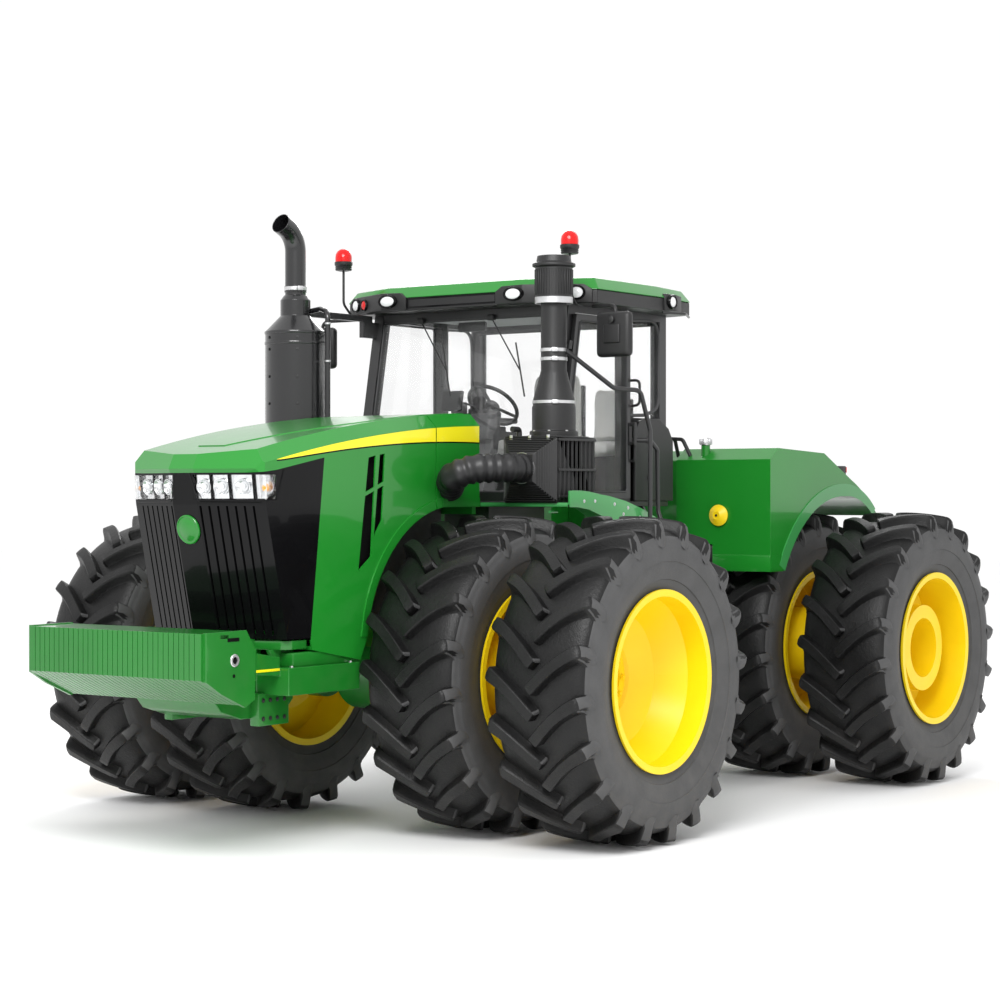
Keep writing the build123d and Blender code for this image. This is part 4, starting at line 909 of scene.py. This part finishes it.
# a thin black rim that runs round the black panel, under the lamps
rim = tube([(62, nose_y(62, 1294) - 1, 1294), (112, nose_y(112, 1122) - 1, 1122),
            (500, nose_y(500, 1118) - 1, 1118), (547, -1790, 1125), (549, -1690, 1180),
            (551, -1640, 1318)], 3.2, 30, 8)
for side, turned in (("left", rim), ("right", mirrored(rim))):
    piece("lamp_rim_" + side, turned, GLOSS_BLACK, "hood")


# ---- intake and exhaust ------------------------------------------------------------------
CAB_FLOOR = 1120
POST_FOOT, POST_RUN, POST_RISE = 730, 255, 1360
STACK = (1000, 600)
EXHAUST = (-840, 70)
FRONT_LEFT = (0.62, -0.785)    # where the screws of the intake's clamps sit


def band(radius, z0, z1, centre):
    """A strap round an upright pipe."""
    outline = [(z0, radius - 2), (z0, radius + 1), (z0 + 2, radius + 3), (z1 - 2, radius + 3),
               (z1, radius + 1), (z1, radius - 2)]
    return disc(outline, (*centre, 0), UP)


def screw_clamp(radius, z, centre, way, width):
    """A strap with its screw housing, on an upright pipe; way is where the screw sits."""
    strap = band(radius, z - width / 2, z + width / 2, centre)
    x, y = centre[0] + way[0] * (radius + 8), centre[1] + way[1] * (radius + 8)
    turn = Matrix.Rotation(np.arctan2(way[1], way[0]), 4, "Z")
    box = moved(bar(-7, 9, -20, 20, -width / 2 - 2, width / 2 + 2, 3), x, y, z, turn)
    screw = moved(tube([(4, -30, 0), (4, 26, 0)], 5, 10, 10), x, y, z, turn)
    return joined(strap, box, screw)


piece("intake_clamps", joined(screw_clamp(88, 2080, STACK, FRONT_LEFT, 24),
                              screw_clamp(88, 2140, STACK, FRONT_LEFT, 24),
                              screw_clamp(143, 1788, STACK, FRONT_LEFT, 22),
                              band(126, 2452, 2496, STACK)), STEEL)
rib = bar(125, 131, -5, 5, 2510, 2682, 2, 1)
ribs = grown(moved(rib, turn=UP.inverted()), RING_TREE, Count=36, Finish=PLASTIC)
piece("intake_screen", moved(ribs, *STACK, 0, UP), PLASTIC)
turns = [pi * (k + 0.5) / 4 for k in range(8)]
piece("intake_base_bolts", studs([(STACK[0] + 156 * cos(a), STACK[1] + 156 * sin(a), 1590)
                                  for a in turns], (0, 0, 1), 9, 8), STEEL)


def cleaner_details():
    """Ribs on the air cleaner's sloping front, rails along its side, its lid and its neck."""
    frames = []
    for t in (0.1, 0.2, 0.3, 0.4, 0.5, 0.6, 0.7, 0.8):
        half_x, half_z = 210 + (90 - 210) * t, 220 + (90 - 220) * t
        x, y, z = 1010 - 10 * t, 310 - 90 * t, 1330 + 10 * t
        corners = [(x + i * half_x, y, z + k * half_z)
                   for i, k in ((-1, -1), (1, -1), (1, 1), (-1, 1), (-1, -1))]
        frames += [tube([a, b], 5, 5, 8) for a, b in zip(corners, corners[1:])]
    rails = [bar(1222, 1240, 318, 762, z - 9, z + 9, 4) for z in (1150, 1330, 1530)]
    lid = bar(806, 1226, 306, 690, 1544, 1556, 5)
    neck = tube([(905, 330, 1552), (905, 330, 1600), (905, 250, 1600)], 19, 34, 16)
    return joined(*frames, *rails, lid, neck)


piece("air_cleaner_ribs", cleaner_details(), PLASTIC)
clips = [bar(x - 12, x + 12, 298, 305, 1520, 1562, 3) for x in (860, 1010, 1160)]
piece("air_cleaner_clips", joined(*clips), STEEL)


def ribbed_hose(points, bend, radius, rings, rib):
    """A bellows hose along rounded runs."""
    line = bent(points, bend, 10)
    curve = bpy.data.curves.new("hose", "CURVE")
    curve.dimensions = "3D"
    spline = curve.splines.new("POLY")
    spline.points.add(len(line) - 1)
    for spot, place in zip(spline.points, line):
        spot.co = (*place, 1)
    return grown(curve, HOSE_TREE, Rings=rings, Radius=radius, Rib_height=rib, Finish=HOSE)


piece("intake_bellows", ribbed_hose([(1000, 262, 1340), (1000, 80, 1340), (860, -110, 1335),
                                     (750, -200, 1290), (572, 0, 1212)], 150, 92.0, 13, 6.0), HOSE,
      replaces=("intake_hose",), angle=60)
boot = disc([(0, 88), (0, 99), (56, 101), (60, 97), (60, 88)], (1000, 205, 1340), BACK)
piece("intake_boot", boot, PLASTIC)
piece("intake_boot_clamp", disc([(18, 98), (18, 104), (34, 104), (34, 98)], (1000, 205, 1340),
                                BACK), STEEL)

ex, ey = EXHAUST
SEAM_RADIUS = 213.5
drain = (ex + 262, ey + 40)
bolt_turns = (-pi / 2 - 0.32, -pi / 2 + 0.78)
outward = [(SEAM_RADIUS * cos(a), SEAM_RADIUS * sin(a), z)
           for z in (1290, 1480, 1800, 1990, 2180, 2262) for a in bolt_turns]
piece("exhaust_bolts", studs([(ex + x, ey + y, z) for x, y, z in outward],
                             [(x, y, 0) for x, y, _ in outward], 8, 6), BLACK_PAINT)
seams = [disc([(z, 205), (z, 215), (z + 4, 217), (z + 16, 217), (z + 20, 215), (z + 20, 205)],
              (ex, ey, 0), UP, 54) for z in (1184, 2216, 2290)]
side_pipe = tube([(ex + 20, ey + 90, 2452), (ex + 150, ey + 96, 2470), (*drain, 2440),
                  (*drain, 1200)], 19, 70, 14)
piece("exhaust_seams", joined(*seams, side_pipe), EXHAUST_BLACK)
piece("exhaust_clamps", joined(screw_clamp(77, 2612, EXHAUST, (0.9, -0.44), 26),
                               band(19, 2352, 2366, drain), band(19, 2090, 2104, drain)), STEEL)


# ---- cab ---------------------------------------------------------------------------------
HEADLINER = finish_material("headliner_felt", (0.34, 0.35, 0.36), 0.8, 0.9, 8.0, 0.08, 0.3, 500.0)


def post_y(z):
    """Where the leaning front posts stand at a height."""
    return POST_FOOT + POST_RUN * (z - CAB_FLOOR) / POST_RISE


piece("headliner", joined(bar(-768, 768, 1060, 2190, 2462, 2476, 5),
                          bar(-700, 700, 1180, 2080, 2452, 2464, 5)), HEADLINER)
piece("dome_lamp", joined(*[disc([(0, 0), (0, 40), (6, 46), (12, 46), (12, 0)], (x, 1200, 2440), UP,
                                 32) for x in (-392, 392)]), LAMP_WHITE)


def seal(points, radius=7):
    """A rubber seal run round a window, closed on its start."""
    middle = [(a + b) / 2 for a, b in zip(points[0], points[1])]
    return tube([middle, *points[1:], points[0], middle], radius, 30, 8)


def side_window(x, low, high, front_gap, rear):
    return seal([(x, post_y(low) + front_gap, low), (x, rear, low), (x, rear, high),
                 (x, post_y(high) + front_gap, high)])


screen_seal, rear_seal = (seal([(-776, low, 1184), (776, low, 1184), (776, high, 2416),
                                (-776, high, 2416)], 9)
                          for low, high in ((post_y(1184) + 22, post_y(2416) + 22), (2228, 2228)))
quarter = tube([(850, 1780, 2424), (850, 2164, 2440), (850, 2172, 1790), (850, 1960, 1742),
                (850, 1776, 1736)], 13, 130, 10)
piece("cab_seals", joined(screen_seal, rear_seal, quarter, mirrored(quarter),
                          side_window(-852, 1186, 2424, 96, 1684)), DARK_TRIM)
piece("door_seal", side_window(897, 1186, 2372, 110, 1670), DARK_TRIM, "door")


def wiper(x0, z0, x1, z1, blade):
    """An arm and blade lying on the windscreen."""
    def on_screen(x, z, off):
        return (x, post_y(z) + 20 - off, z)
    arm = tube([on_screen(x0, z0, 26), on_screen(x1, z1, 20)], 5, 10, 8)
    way = Vector((x1 - x0, 0, z1 - z0)).normalized() * blade / 2
    lean = Vector((way.z * 0.35, 0, -way.x * 0.35)) + way
    strip_line = [on_screen(x1 - lean.x, z1 - lean.z, 12), on_screen(x1 + lean.x, z1 + lean.z, 12)]
    motor = bar(x0 - 26, x0 + 26, post_y(z0) - 26, post_y(z0) + 18, z0 - 22, z0 + 22, 8)
    return joined(arm, tube(strip_line, 6, 10, 8), motor)


piece("wipers", joined(wiper(209, 2420, 500, 2040, 380), wiper(-420, 2420, -150, 2060, 380)),
      PLASTIC)


def cab_details():
    """Inner posts, dash, levers and the mirror in the cab, in dark trim."""
    dash = slab([(1075, 1560), (1150, 1560), (1215, 1720), (1190, 1752), (1120, 1744),
                 (1080, 1660)], -105, 105, "X", 14)
    lever_x = (-360, -405, -450, -495)
    levers = [tube([(x, 1560, 1680), (x, 1545, 1780)], 6, 10, 8) for x in lever_x]
    knobs = [disc([(0, 0), (3, 11), (14, 16), (30, 14), (36, 0)], (x, 1544, 1770), UP, 16)
             for x in lever_x]
    stalk = tube([(-60, 1190, 1790), (-190, 1180, 1830)], 7, 20, 8)
    rest_arm = bar(-330, -262, 1560, 1960, 1700, 1742, 14)
    mirror_box = bar(-120, 120, 1012, 1046, 2330, 2400, 12)
    tube_rear = tube([(-776, 2150, 2420), (776, 2150, 2420)], 22, 20, 12)
    pillar = tube([(690, 1100, 1180), (720, 1190, 2430)], 16, 20, 10)
    return joined(dash, *levers, *knobs, stalk, rest_arm, mirror_box, tube_rear, pillar)


piece("cab_fittings", cab_details(), DARK_TRIM)
# each display: half width, half height, margin of its face, place and turn
DISPLAYS = ((88, 74, 12, (-166, 1010, 1838), Matrix.Rotation(-0.2, 4, "X")),
            (60, 80, 8, (-430, 1440, 1770), Matrix.Rotation(0.5, 4, "Z")))
cases = [moved(bar(-wide, wide, -12, 12, -tall, tall, 8), *place, turn)
         for wide, tall, _, place, turn in DISPLAYS]
faces = [moved(bar(rim - wide, wide - rim, 11, 14, rim - tall, tall - rim, 1), *place, turn)
         for wide, tall, rim, place, turn in DISPLAYS]
piece("cab_displays", joined(cases[0], tube([(-110, 1110, 1700), (-166, 1020, 1780)], 11, 10, 10),
                             cases[1]), PLASTIC)
piece("display_faces", joined(*faces), SCREEN)


def wheel_details():
    """The steering wheel with its three spokes and cap, on the column's boot."""
    centre = Vector((0, 1276, 1812))
    lie = Matrix.Translation(centre) @ Matrix.Rotation(-radians(44), 4, "X")
    rim_line = [(190 * sin(2 * pi * k / 40), 190 * cos(2 * pi * k / 40), 0) for k in range(41)]
    rim = tube(rim_line, 14, 2, 14, capped=False)
    spokes = [moved(bar(-15, 15, -186, -30, -16, -5, 5), turn=Matrix.Rotation(a, 4, "Z"))
              for a in (0, 2 * pi / 3 + 0.1, -2 * pi / 3 - 0.1)]
    cap = disc([(-30, 0), (-30, 50), (-10, 58), (4, 50), (10, 0)], (0, 0, 0), UP, 32)
    wheel = joined(tidy(rim, merge=0.5), *spokes, cap)
    wheel.transform(lie)
    boot = tube([(0, 1180, 1640), (0, 1235, 1750), centre - Vector((0, 14, 16))],
                lambda t: 62 - 30 * t, 20, 24)
    return joined(wheel, boot)


piece("steering_wheel_details", wheel_details(), PLASTIC,
      replaces=("steering_wheel",))

piece("post_handle", joined(tube([(862, 1730, 1405), (925, 1730, 1405), (925, 1730, 1535),
                                  (862, 1730, 1535)], 11, 26, 12),
                            bar(861, 874, 1712, 1748, 1385, 1425, 5),
                            bar(861, 874, 1712, 1748, 1515, 1555, 5)), PLASTIC)
piece("pillar_rail", tube([(866, 1738, 1985), (962, 1738, 1985), (962, 1738, 1810),
                           (866, 1738, 1796)], 10, 40, 12), PLASTIC)
piece("cover_studs", both(*[disc([(0, 0), (0, 30), (10, 26), (14, 0)], (884, 1990, z), EYE, 28)
                            for z in (1290, 1560)]), PLASTIC)


# ---- seats -------------------------------------------------------------------------------
CLOTH_FRAMES = 20
MOST_SWELL = 0.016             # metres that the cover may move
GRID = 0.006


def blown_out(grid):
    """The pad's cover after the cloth simulation, its movement capped."""
    thing = object_of(grid, "pad")
    cloth = thing.modifiers.new("cover", "CLOTH")
    settings = cloth.settings
    settings.use_pressure = True
    settings.uniform_pressure_force = 4.0
    settings.effector_weights.gravity = 0.0
    settings.quality = 4
    cloth.point_cache.frame_end = CLOTH_FRAMES
    for step in range(1, CLOTH_FRAMES + 1):
        bpy.context.scene.frame_set(step)
    blown = evaluated(thing)
    bpy.context.scene.frame_set(1)
    before, after = (np.empty(len(grid.vertices) * 3) for _ in range(2))
    grid.vertices.foreach_get("co", before)
    blown.vertices.foreach_get("co", after)
    shift = (after - before).reshape(-1, 3)
    reach = np.linalg.norm(shift, axis=1, keepdims=True)
    shift *= np.minimum(1.0, MOST_SWELL / np.maximum(reach, 1e-9))
    grid.vertices.foreach_set("co", (before.reshape(-1, 3) + shift).ravel())


def cushion(name, x0, x1, y0, y1, z0, z1, edge=30, crown=0, replaces=()):
    """A stuffed seat pad, blown out against its seams; the top of a back narrows."""
    mesh = bar(x0 + 6, x1 - 6, y0 + 6, y1 - 6, z0 + 6, z1 - 6, edge, 3)
    mesh.transform(MACHINE)
    grid = with_modifier(mesh, "REMESH", mode="VOXEL", voxel_size=GRID)
    blown_out(grid)
    grid.transform(MACHINE.inverted())
    middle = (x0 + x1) / 2
    for vertex in grid.vertices if crown else ():
        rise = max(0.0, (vertex.co.z - z1) / crown + 1)
        vertex.co.x = middle + (vertex.co.x - middle) * (1 - 0.3 * min(rise, 1.05) ** 2)
    piece(name, grid, SEAT_CLOTH, replaces=replaces, angle=80)


cushion("driver_seat_cushion", -245, 245, 1570, 2030, 1452, 1562, replaces=("seat_cushions",))
cushion("driver_seat_back", -225, 225, 2052, 2150, 1540, 2086, 38, 150)
cushion("side_seat_cushion", 300, 655, 1770, 2070, 1452, 1545)
cushion("side_seat_back", 305, 650, 2086, 2156, 1540, 1960, 32, 130)
shells = [bar(-212, 212, 2150, 2172, 1470, 1985, 9, 3), bar(320, 635, 2155, 2172, 1470, 1872, 8, 3)]
bolsters = [bar(s * 262 - 16, s * 262 + 16, 1580, 2020, 1430, 1500, 8) for s in (-1, 1)]
piece("seat_shells", joined(*shells, *bolsters), PLASTIC)


# ---- roof lamps, beacons and mirrors -----------------------------------------------------
def roof_lamp(x, y, angle, lens, wide, z=2538, size=1.0):
    """Bezel and lens of an oval lamp in the roof's edge, looking out at an angle from +X."""
    turn = (Matrix.Rotation(radians(angle), 4, "Z") @ Matrix.Diagonal((1, wide, 1, 1))
            @ Matrix.Scale(size, 4))
    bezel = disc([(-12, 0), (-12, 52), (10, 52), (18, 48), (18, 42), (8, 39), (8, 0)], (x, y, z),
                 turn, 36)
    glass = disc([(4, 0), (4, 38), (12, 37), (20, 24), (23, 10), (23, 0)], (x, y, z), turn, 36)
    return bezel, glass, lens


lamps = [roof_lamp(555, 752, -90, "white", 1.7, 2554, 0.95),
         roof_lamp(856, 858, -66, "red", 1.1, 2548, 0.85),
         roof_lamp(975, 912, -66, "white", 1.2, 2554), roof_lamp(1112, 1930, 4, "white", 1.2, 2550),
         roof_lamp(860, 2362, 68, "white", 1.45)]
piece("roof_lamp_bezels", both(*[lamp[0] for lamp in lamps]), GLOSS_BLACK)
piece("roof_lamps", both(*[lamp[1] for lamp in lamps if lamp[2] == "white"]), LAMP_WHITE)
piece("roof_markers", both(*[lamp[1] for lamp in lamps if lamp[2] == "red"]), RED_LENS)


def lamp_pod():
    """Housing that carries the lamps round the roof's front corner."""
    ahead, between, turned = (Vector(way) for way in ((0, -1), (0.21, -0.978), (0.40, -0.916)))
    rows = []
    for x, y, out, low, high in (
        (395, 770, ahead, 2484, 2576), (450, 770, ahead, 2488, 2612),
        (620, 770, between, 2490, 2616), (1015, 943, turned, 2488, 2612),
        (1070, 967, turned, 2484, 2576),
    ):
        inner, outer = Vector((x, y)) - out * 40, Vector((x, y)) + out * 15
        rows.append([(*inner, low), (*outer, low), (*outer, high), (*inner, high)])
    return rounded(strip(rows), 5, 2, 20)


piece("roof_lamp_pods", both(lamp_pod()), PLASTIC)
rear_pod = slab([(1108, 1850), (1112, 1990), (1060, 2150), (1040, 2150), (1040, 1850)], 2486, 2606,
                "Z", 6)
piece("roof_side_pods", both(rear_pod), PLASTIC)
panel = joined(bar(-390, 390, 764, 772, 2500, 2512, 3), bar(-390, 390, 764, 772, 2562, 2572, 3),
               both(bar(384, 394, 764, 772, 2500, 2572, 3)))
piece("roof_front_frame", panel, GLOSS_BLACK)
piece("roof_rails", both(tube([(1092, 1840, 2470), (1190, 1990, 2466), (1010, 2335, 2470)], 9, 40,
                              10)), BLACK_PAINT)

BEACON = (1000, 790)
stem = tube([(950, 1000, 2477), (990, 880, 2470), (*BEACON, 2560), (*BEACON, 2806)], 9, 70, 12)
cup = disc([(2800, 0), (2800, 30), (2806, 58), (2818, 62), (2822, 58), (2830, 62), (2834, 58),
            (2842, 63), (2848, 66), (2866, 66), (2870, 60), (2870, 0)], (*BEACON, 0), UP, 40)
dome = disc([(2868, 0), (2868, 60), (2900, 61), (2925, 57), (2945, 46), (2958, 30), (2964, 14),
             (2966, 0)], (*BEACON, 0), UP, 40)
piece("beacon_cups", both(stem, cup), PLASTIC, replaces=("beacons",))
piece("beacon_domes", both(dome), RED_LENS)

MIRROR_X = 1298
arm = tube([(1040, 1020, 2462), (MIRROR_X, 905, 2452), (MIRROR_X, 905, 2300)], 13, 60, 12)
head = bar(MIRROR_X - 138, MIRROR_X + 138, 858, 930, 2098, 2405, 34, 4)
swell = bar(MIRROR_X - 66, MIRROR_X + 66, 846, 866, 2190, 2320, 14, 3)
boss_ring = disc([(0, 0), (0, 26), (10, 24), (14, 16), (14, 0)], (MIRROR_X, 848, 2350), AHEAD, 24)
piece("mirror_heads", both(arm, head, swell, boss_ring), PLASTIC,
      replaces=("mirrors",))
piece("mirror_faces", both(bar(MIRROR_X - 116, MIRROR_X + 116, 929, 933, 2205, 2385, 3),
                           bar(MIRROR_X - 116, MIRROR_X + 116, 929, 933, 2120, 2192, 3)), MIRROR)


# ---- fenders, tanks and steps ------------------------------------------------------------
CHEEK_OUTER = 1319
# the cheeks take the lighter green: painted highlight
piece("fender_cheeks", both(slab([(324, 1183), (553, 1180), (789, 1157), (1003, 1122), (1222, 1066),
                                  (1371, 1014), (1478, 974), (1478, 822), (1440, 818), (1250, 862),
                                  (1050, 908), (900, 952), (789, 995), (692, 1026), (553, 1065),
                                  (416, 1081), (324, 1082)], CHEEK_OUTER - 7, CHEEK_OUTER, "X", 2)),
      PAINTED_LIT_GREEN)
cheek = [(CHEEK_OUTER, y, z) for y, z in ((491, 1121), (621, 1122), (860, 1101), (1028, 1076),
                                          (971, 1033), (1180, 1010), (1330, 960))]
piece("fender_bolts", both(studs(cheek, (1, 0, 0), 9, 6)), STEEL)
# the deck edges take the lighter green: painted highlight
piece("deck_edges", both(bar(586, 1298, 326, 334, 1085, 1112, 2),
                         tube([(1150, 330, 1050), (1150, 420, 1050)], 9, 10, 8)), PAINTED_LIT_GREEN)

TANK_FRONT = 2860
cone = disc([(0, 0), (0, 62), (10, 78), (22, 80), (28, 72), (52, 34), (54, 30), (50, 12), (50, 0)],
            (965, TANK_FRONT - 1, 1010), AHEAD, 48)
piece("tank_discs", cone, YELLOW, "rear_half", ("tank_fittings",))
piece("tank_disc_pin", disc([(0, 0), (0, 9), (12, 8), (14, 0)], (965, TANK_FRONT - 48, 1010), AHEAD,
                            20), BLACK_PAINT, "rear_half")
FILLER = (800, TANK_FRONT + 70, 0)
neck = disc([(1440, 0), (1440, 46), (1452, 46), (1456, 34), (1545, 34), (1545, 0)], FILLER, UP, 32)
piece("filler_neck", neck, GREEN, "rear_half")
cap_body = disc([(1544, 0), (1544, 44), (1552, 46), (1586, 46), (1594, 40), (1600, 20), (1600, 0)],
                FILLER, UP, 36)
cap_ribs = grown(bar(1550, 1588, -3, 3, 45, 50, 1, 1), RING_TREE, Count=20, Finish=STEEL)
piece("filler_cap", joined(cap_body, moved(cap_ribs, *FILLER, UP)), STEEL,
      "rear_half")
# points of the rail: sideways, behind the tank's front and up
rail = [(x, TANK_FRONT + y, z) for x, y, z in ((676, 50, 1440), (672, 50, 1470), (606, 50, 1590),
                                               (420, 50, 1600), (420, 240, 1600), (420, 300, 1450))]
piece("tank_rail", tube(rail, 15, 45, 14), HOSE, "rear_half")


def outer_band(pairs, low, high):
    """A flat raised band on the tank's outer side, through (y, z) pairs of inner and outer."""
    return strip([[(low, *inner), (high, *inner), (high, *outer), (low, *outer)]
                  for inner, outer in pairs])


piece("tank_skirts", both(slab([(TANK_FRONT - 6, 592), (TANK_FRONT - 6, 700), (TANK_FRONT - 1, 716),
                                (TANK_FRONT + 4, 716), (TANK_FRONT + 4, 592)], 904, 1400, "X", 2)),
      GREEN, "rear_half")
piece("tank_side_bands", both(outer_band([((TANK_FRONT + 4, 600), (TANK_FRONT + 4, 712)),
                                          ((3076, 600), (3098, 712))], 1399, 1405)), GREEN,
      "rear_half")


def rear_arch_band(low, high, breadth, tail_breadth):
    """A raised band beside the tank's wheel arch, from its foot over the wheel to the tail."""
    pairs, count = [], 14
    for start, through, end, growth in (
        ((3074, 592), (3520, 1030), (4052, 1154), 0),
        ((4052, 1154), (4312, 1116), (4520, 1001), tail_breadth - breadth),
    ):
        y, z, radius = arc_through(start, through, end)
        first, last = (atan2(p[1] - z, p[0] - y) for p in (start, end))
        for i, a in enumerate(spaced(first, last, count)):
            if i or not pairs:
                pairs.append([(y + r * cos(a), z + r * sin(a))
                              for r in (radius + 1, radius + breadth + growth * i / count)])
    return outer_band(pairs, low, high)


# the arch bands take the lighter green: painted highlight on the tank's side
piece("rear_arch_bands", both(rear_arch_band(1398, 1407, 98, 70)), PAINTED_LIT_GREEN,
      "rear_half")
piece("battery_boxes", both(bar(590, 896, TANK_FRONT + 8, TANK_FRONT + 530, 596, 784, 10),
                            bar(600, 886, TANK_FRONT + 2, TANK_FRONT + 10, 612, 768, 3)),
      BLACK_PAINT, "rear_half")
piece("fender_marker_bases", both(bar(1290, 1398, 4000, 4080, 1300, 1392, 8)), PLASTIC,
      "rear_half")
piece("fender_markers", both(bar(1300, 1400, 4076, 4086, 1340, 1384, 3)), RED_LENS,
      "rear_half")

teeth = [grown(bar(1158, 1382, 1512, 1520, z, z + 7, 2, 1), ROW_TREE, Count=24, Step=(0, 18.4, 0),
               Finish=BLACK_PAINT) for z in (-450, -150, 150, 450)]
piece("step_teeth", joined(*teeth), BLACK_PAINT)


# ---- weights, bracket and frames ---------------------------------------------------------
box_low, box_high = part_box("front_weights")
face_x = box_high.x * 1000
mid_y = ((box_low.y + box_high.y) / 2 - AXLE_Y) * 1000 + 40
low_z, high_z = ((z - AXLE_Z) * 1000 for z in (box_low.z, box_high.z))
eye_z, small_z = (low_z + (high_z - low_z) * share for share in (0.62, 0.42))
eye = disc([(0, 20), (0, 36), (4, 38), (8, 34), (8, 22)], (face_x - 1, mid_y, eye_z), EYE, 40)
# black discs and a bar on the weights' face: painted shade standing for a hole, a small hole and a
# slot
hole_shade = disc([(0, 0), (0, 20), (2, 20), (2, 0)], (face_x - 0.5, mid_y, eye_z), EYE, 32)
small_hole_shade = disc([(0, 0), (0, 11), (2, 11), (2, 0)], (face_x - 0.5, mid_y - 6, small_z), EYE, 24)
slot_shade = bar(face_x - 1, face_x + 2, mid_y - 60, mid_y + 40, high_z - 62, high_z - 40, 1)
piece("weight_eyes", both(eye), STEEL)
piece("weight_holes", both(hole_shade, small_hole_shade, slot_shade), CORE_BLACK_AND_PAINTED_SHADE)

piece("cradle_plates", both(bar(326, 396, -1700, -1413, -252, -50, 9)), FRAME_GREEN)
bolts = [(396, y, z) for z in (-95, -207) for y in (-1654, -1589, -1525, -1460)]
piece("cradle_bolts", both(studs(bolts, (1, 0, 0), 11, 9)), BLACK_PAINT)
block_bolts = landed("weight_bracket", [(x, y, 110) for x in (380, 560) for y in (-1580, -1020)],
                     (0, 0, 1))
piece("bracket_bolts", both(studs(block_bolts, (0, 0, 1), 11, 10)), STEEL)
piece("bracket_stripes", both(bar(518, 523, -1980, -1645, 92, 108, 1)), STRIPE)
for node, body, rows_y in (("front_frame", "front_half", (-1050, -950, -420, 420, 620, 1150, 1350)),
                           ("rear_frame", "rear_half", (2760, 2960, 3360, 4300, 4400))):
    spots = landed(node, [(340, y, z) for y in rows_y for z in (-150, 0, 150, 250)], (1, 0, 0))
    piece(node + "_bolts", both(studs(spots, (1, 0, 0), 14, 12)), BLACK_PAINT, body)


# ---- wheel nuts ---------------------------------------------------------------------------
for pair_name, sign, y, near, far in wheel_pairs():
    # nuts on a disc, their distance in from the outer tyre's middle and their circle
    count, inset, radius, shift = ((10, 108, 176, 0) if pair_name.startswith("front")
                                   else (12, 98, 380, 0.5))
    turns = [2 * pi * (k + shift) / count for k in range(count)]
    spots = [(sign * (far - inset), y + radius * cos(a), radius * sin(a)) for a in turns]
    node = "rims_" + pair_name
    piece("nuts_" + node, studs(spots, (sign, 0, 0), 15, 14), YELLOW, BODY_OF[node])


# ---- floor, light and camera -------------------------------------------------------------
def studio():
    """A pale floor that runs into the white surround, and soft lamps."""
    far = 60
    floor = object_of(new_mesh([(-far, -far, 0), (far, -far, 0), (far, far, 0), (-far, far, 0)],
                               [(0, 1, 2, 3)]), "floor")
    floor.data.materials.append(FLOOR)
    world = bpy.data.worlds.new("studio_white")
    world.use_nodes = True
    white = world.node_tree.nodes["Background"].inputs
    white["Color"].default_value = (1, 1, 1, 1)
    white["Strength"].default_value = 1.02
    bpy.context.scene.world = world
    for name, place, aim, size, power in (
        ("key_softbox", (5.0, -9.0, 9.0), (0, -0.5, 1.2), (6.0, 4.0), 1100),
        ("rear_softbox", (-6.0, 9.0, 8.0), (0, 1.0, 1.5), (5.0, 3.0), 420),
    ):
        lamp = bpy.data.lights.new(name, "AREA")
        lamp.shape = "RECTANGLE"
        lamp.size, lamp.size_y = size
        lamp.energy = power
        thing = bpy.data.objects.new(name, lamp)
        bpy.context.scene.collection.objects.link(thing)
        thing.location = place
        thing.rotation_euler = (Vector(aim) - Vector(place)).to_track_quat("-Z", "Y").to_euler()


FLOOR = finish_material("pale_floor", (0.995, 0.995, 0.995), 0.7, 0.99, 0.4, 0.02,
                        Specular_IOR_Level=0.2)
studio()

FOCAL_LENGTH, SENSOR = 83.06, 36                 # millimetres
CAMERA_PLACE = (9833.6, -12230.3, 2185.2 - TYRE_RADIUS * 1000)
CAMERA_TURN = (pi / 2 - 0.0017, 0, 0.6263)       # radians about X, Y and Z
lens = bpy.data.cameras.new("camera")
lens.lens, lens.sensor_width = FOCAL_LENGTH, SENSOR
camera = bpy.data.objects.new("camera", lens)
bpy.context.scene.collection.objects.link(camera)
camera.location = at(*CAMERA_PLACE)
camera.rotation_euler = CAMERA_TURN
bpy.context.scene.camera = camera
bpy.context.scene.view_settings.view_transform = "Standard"
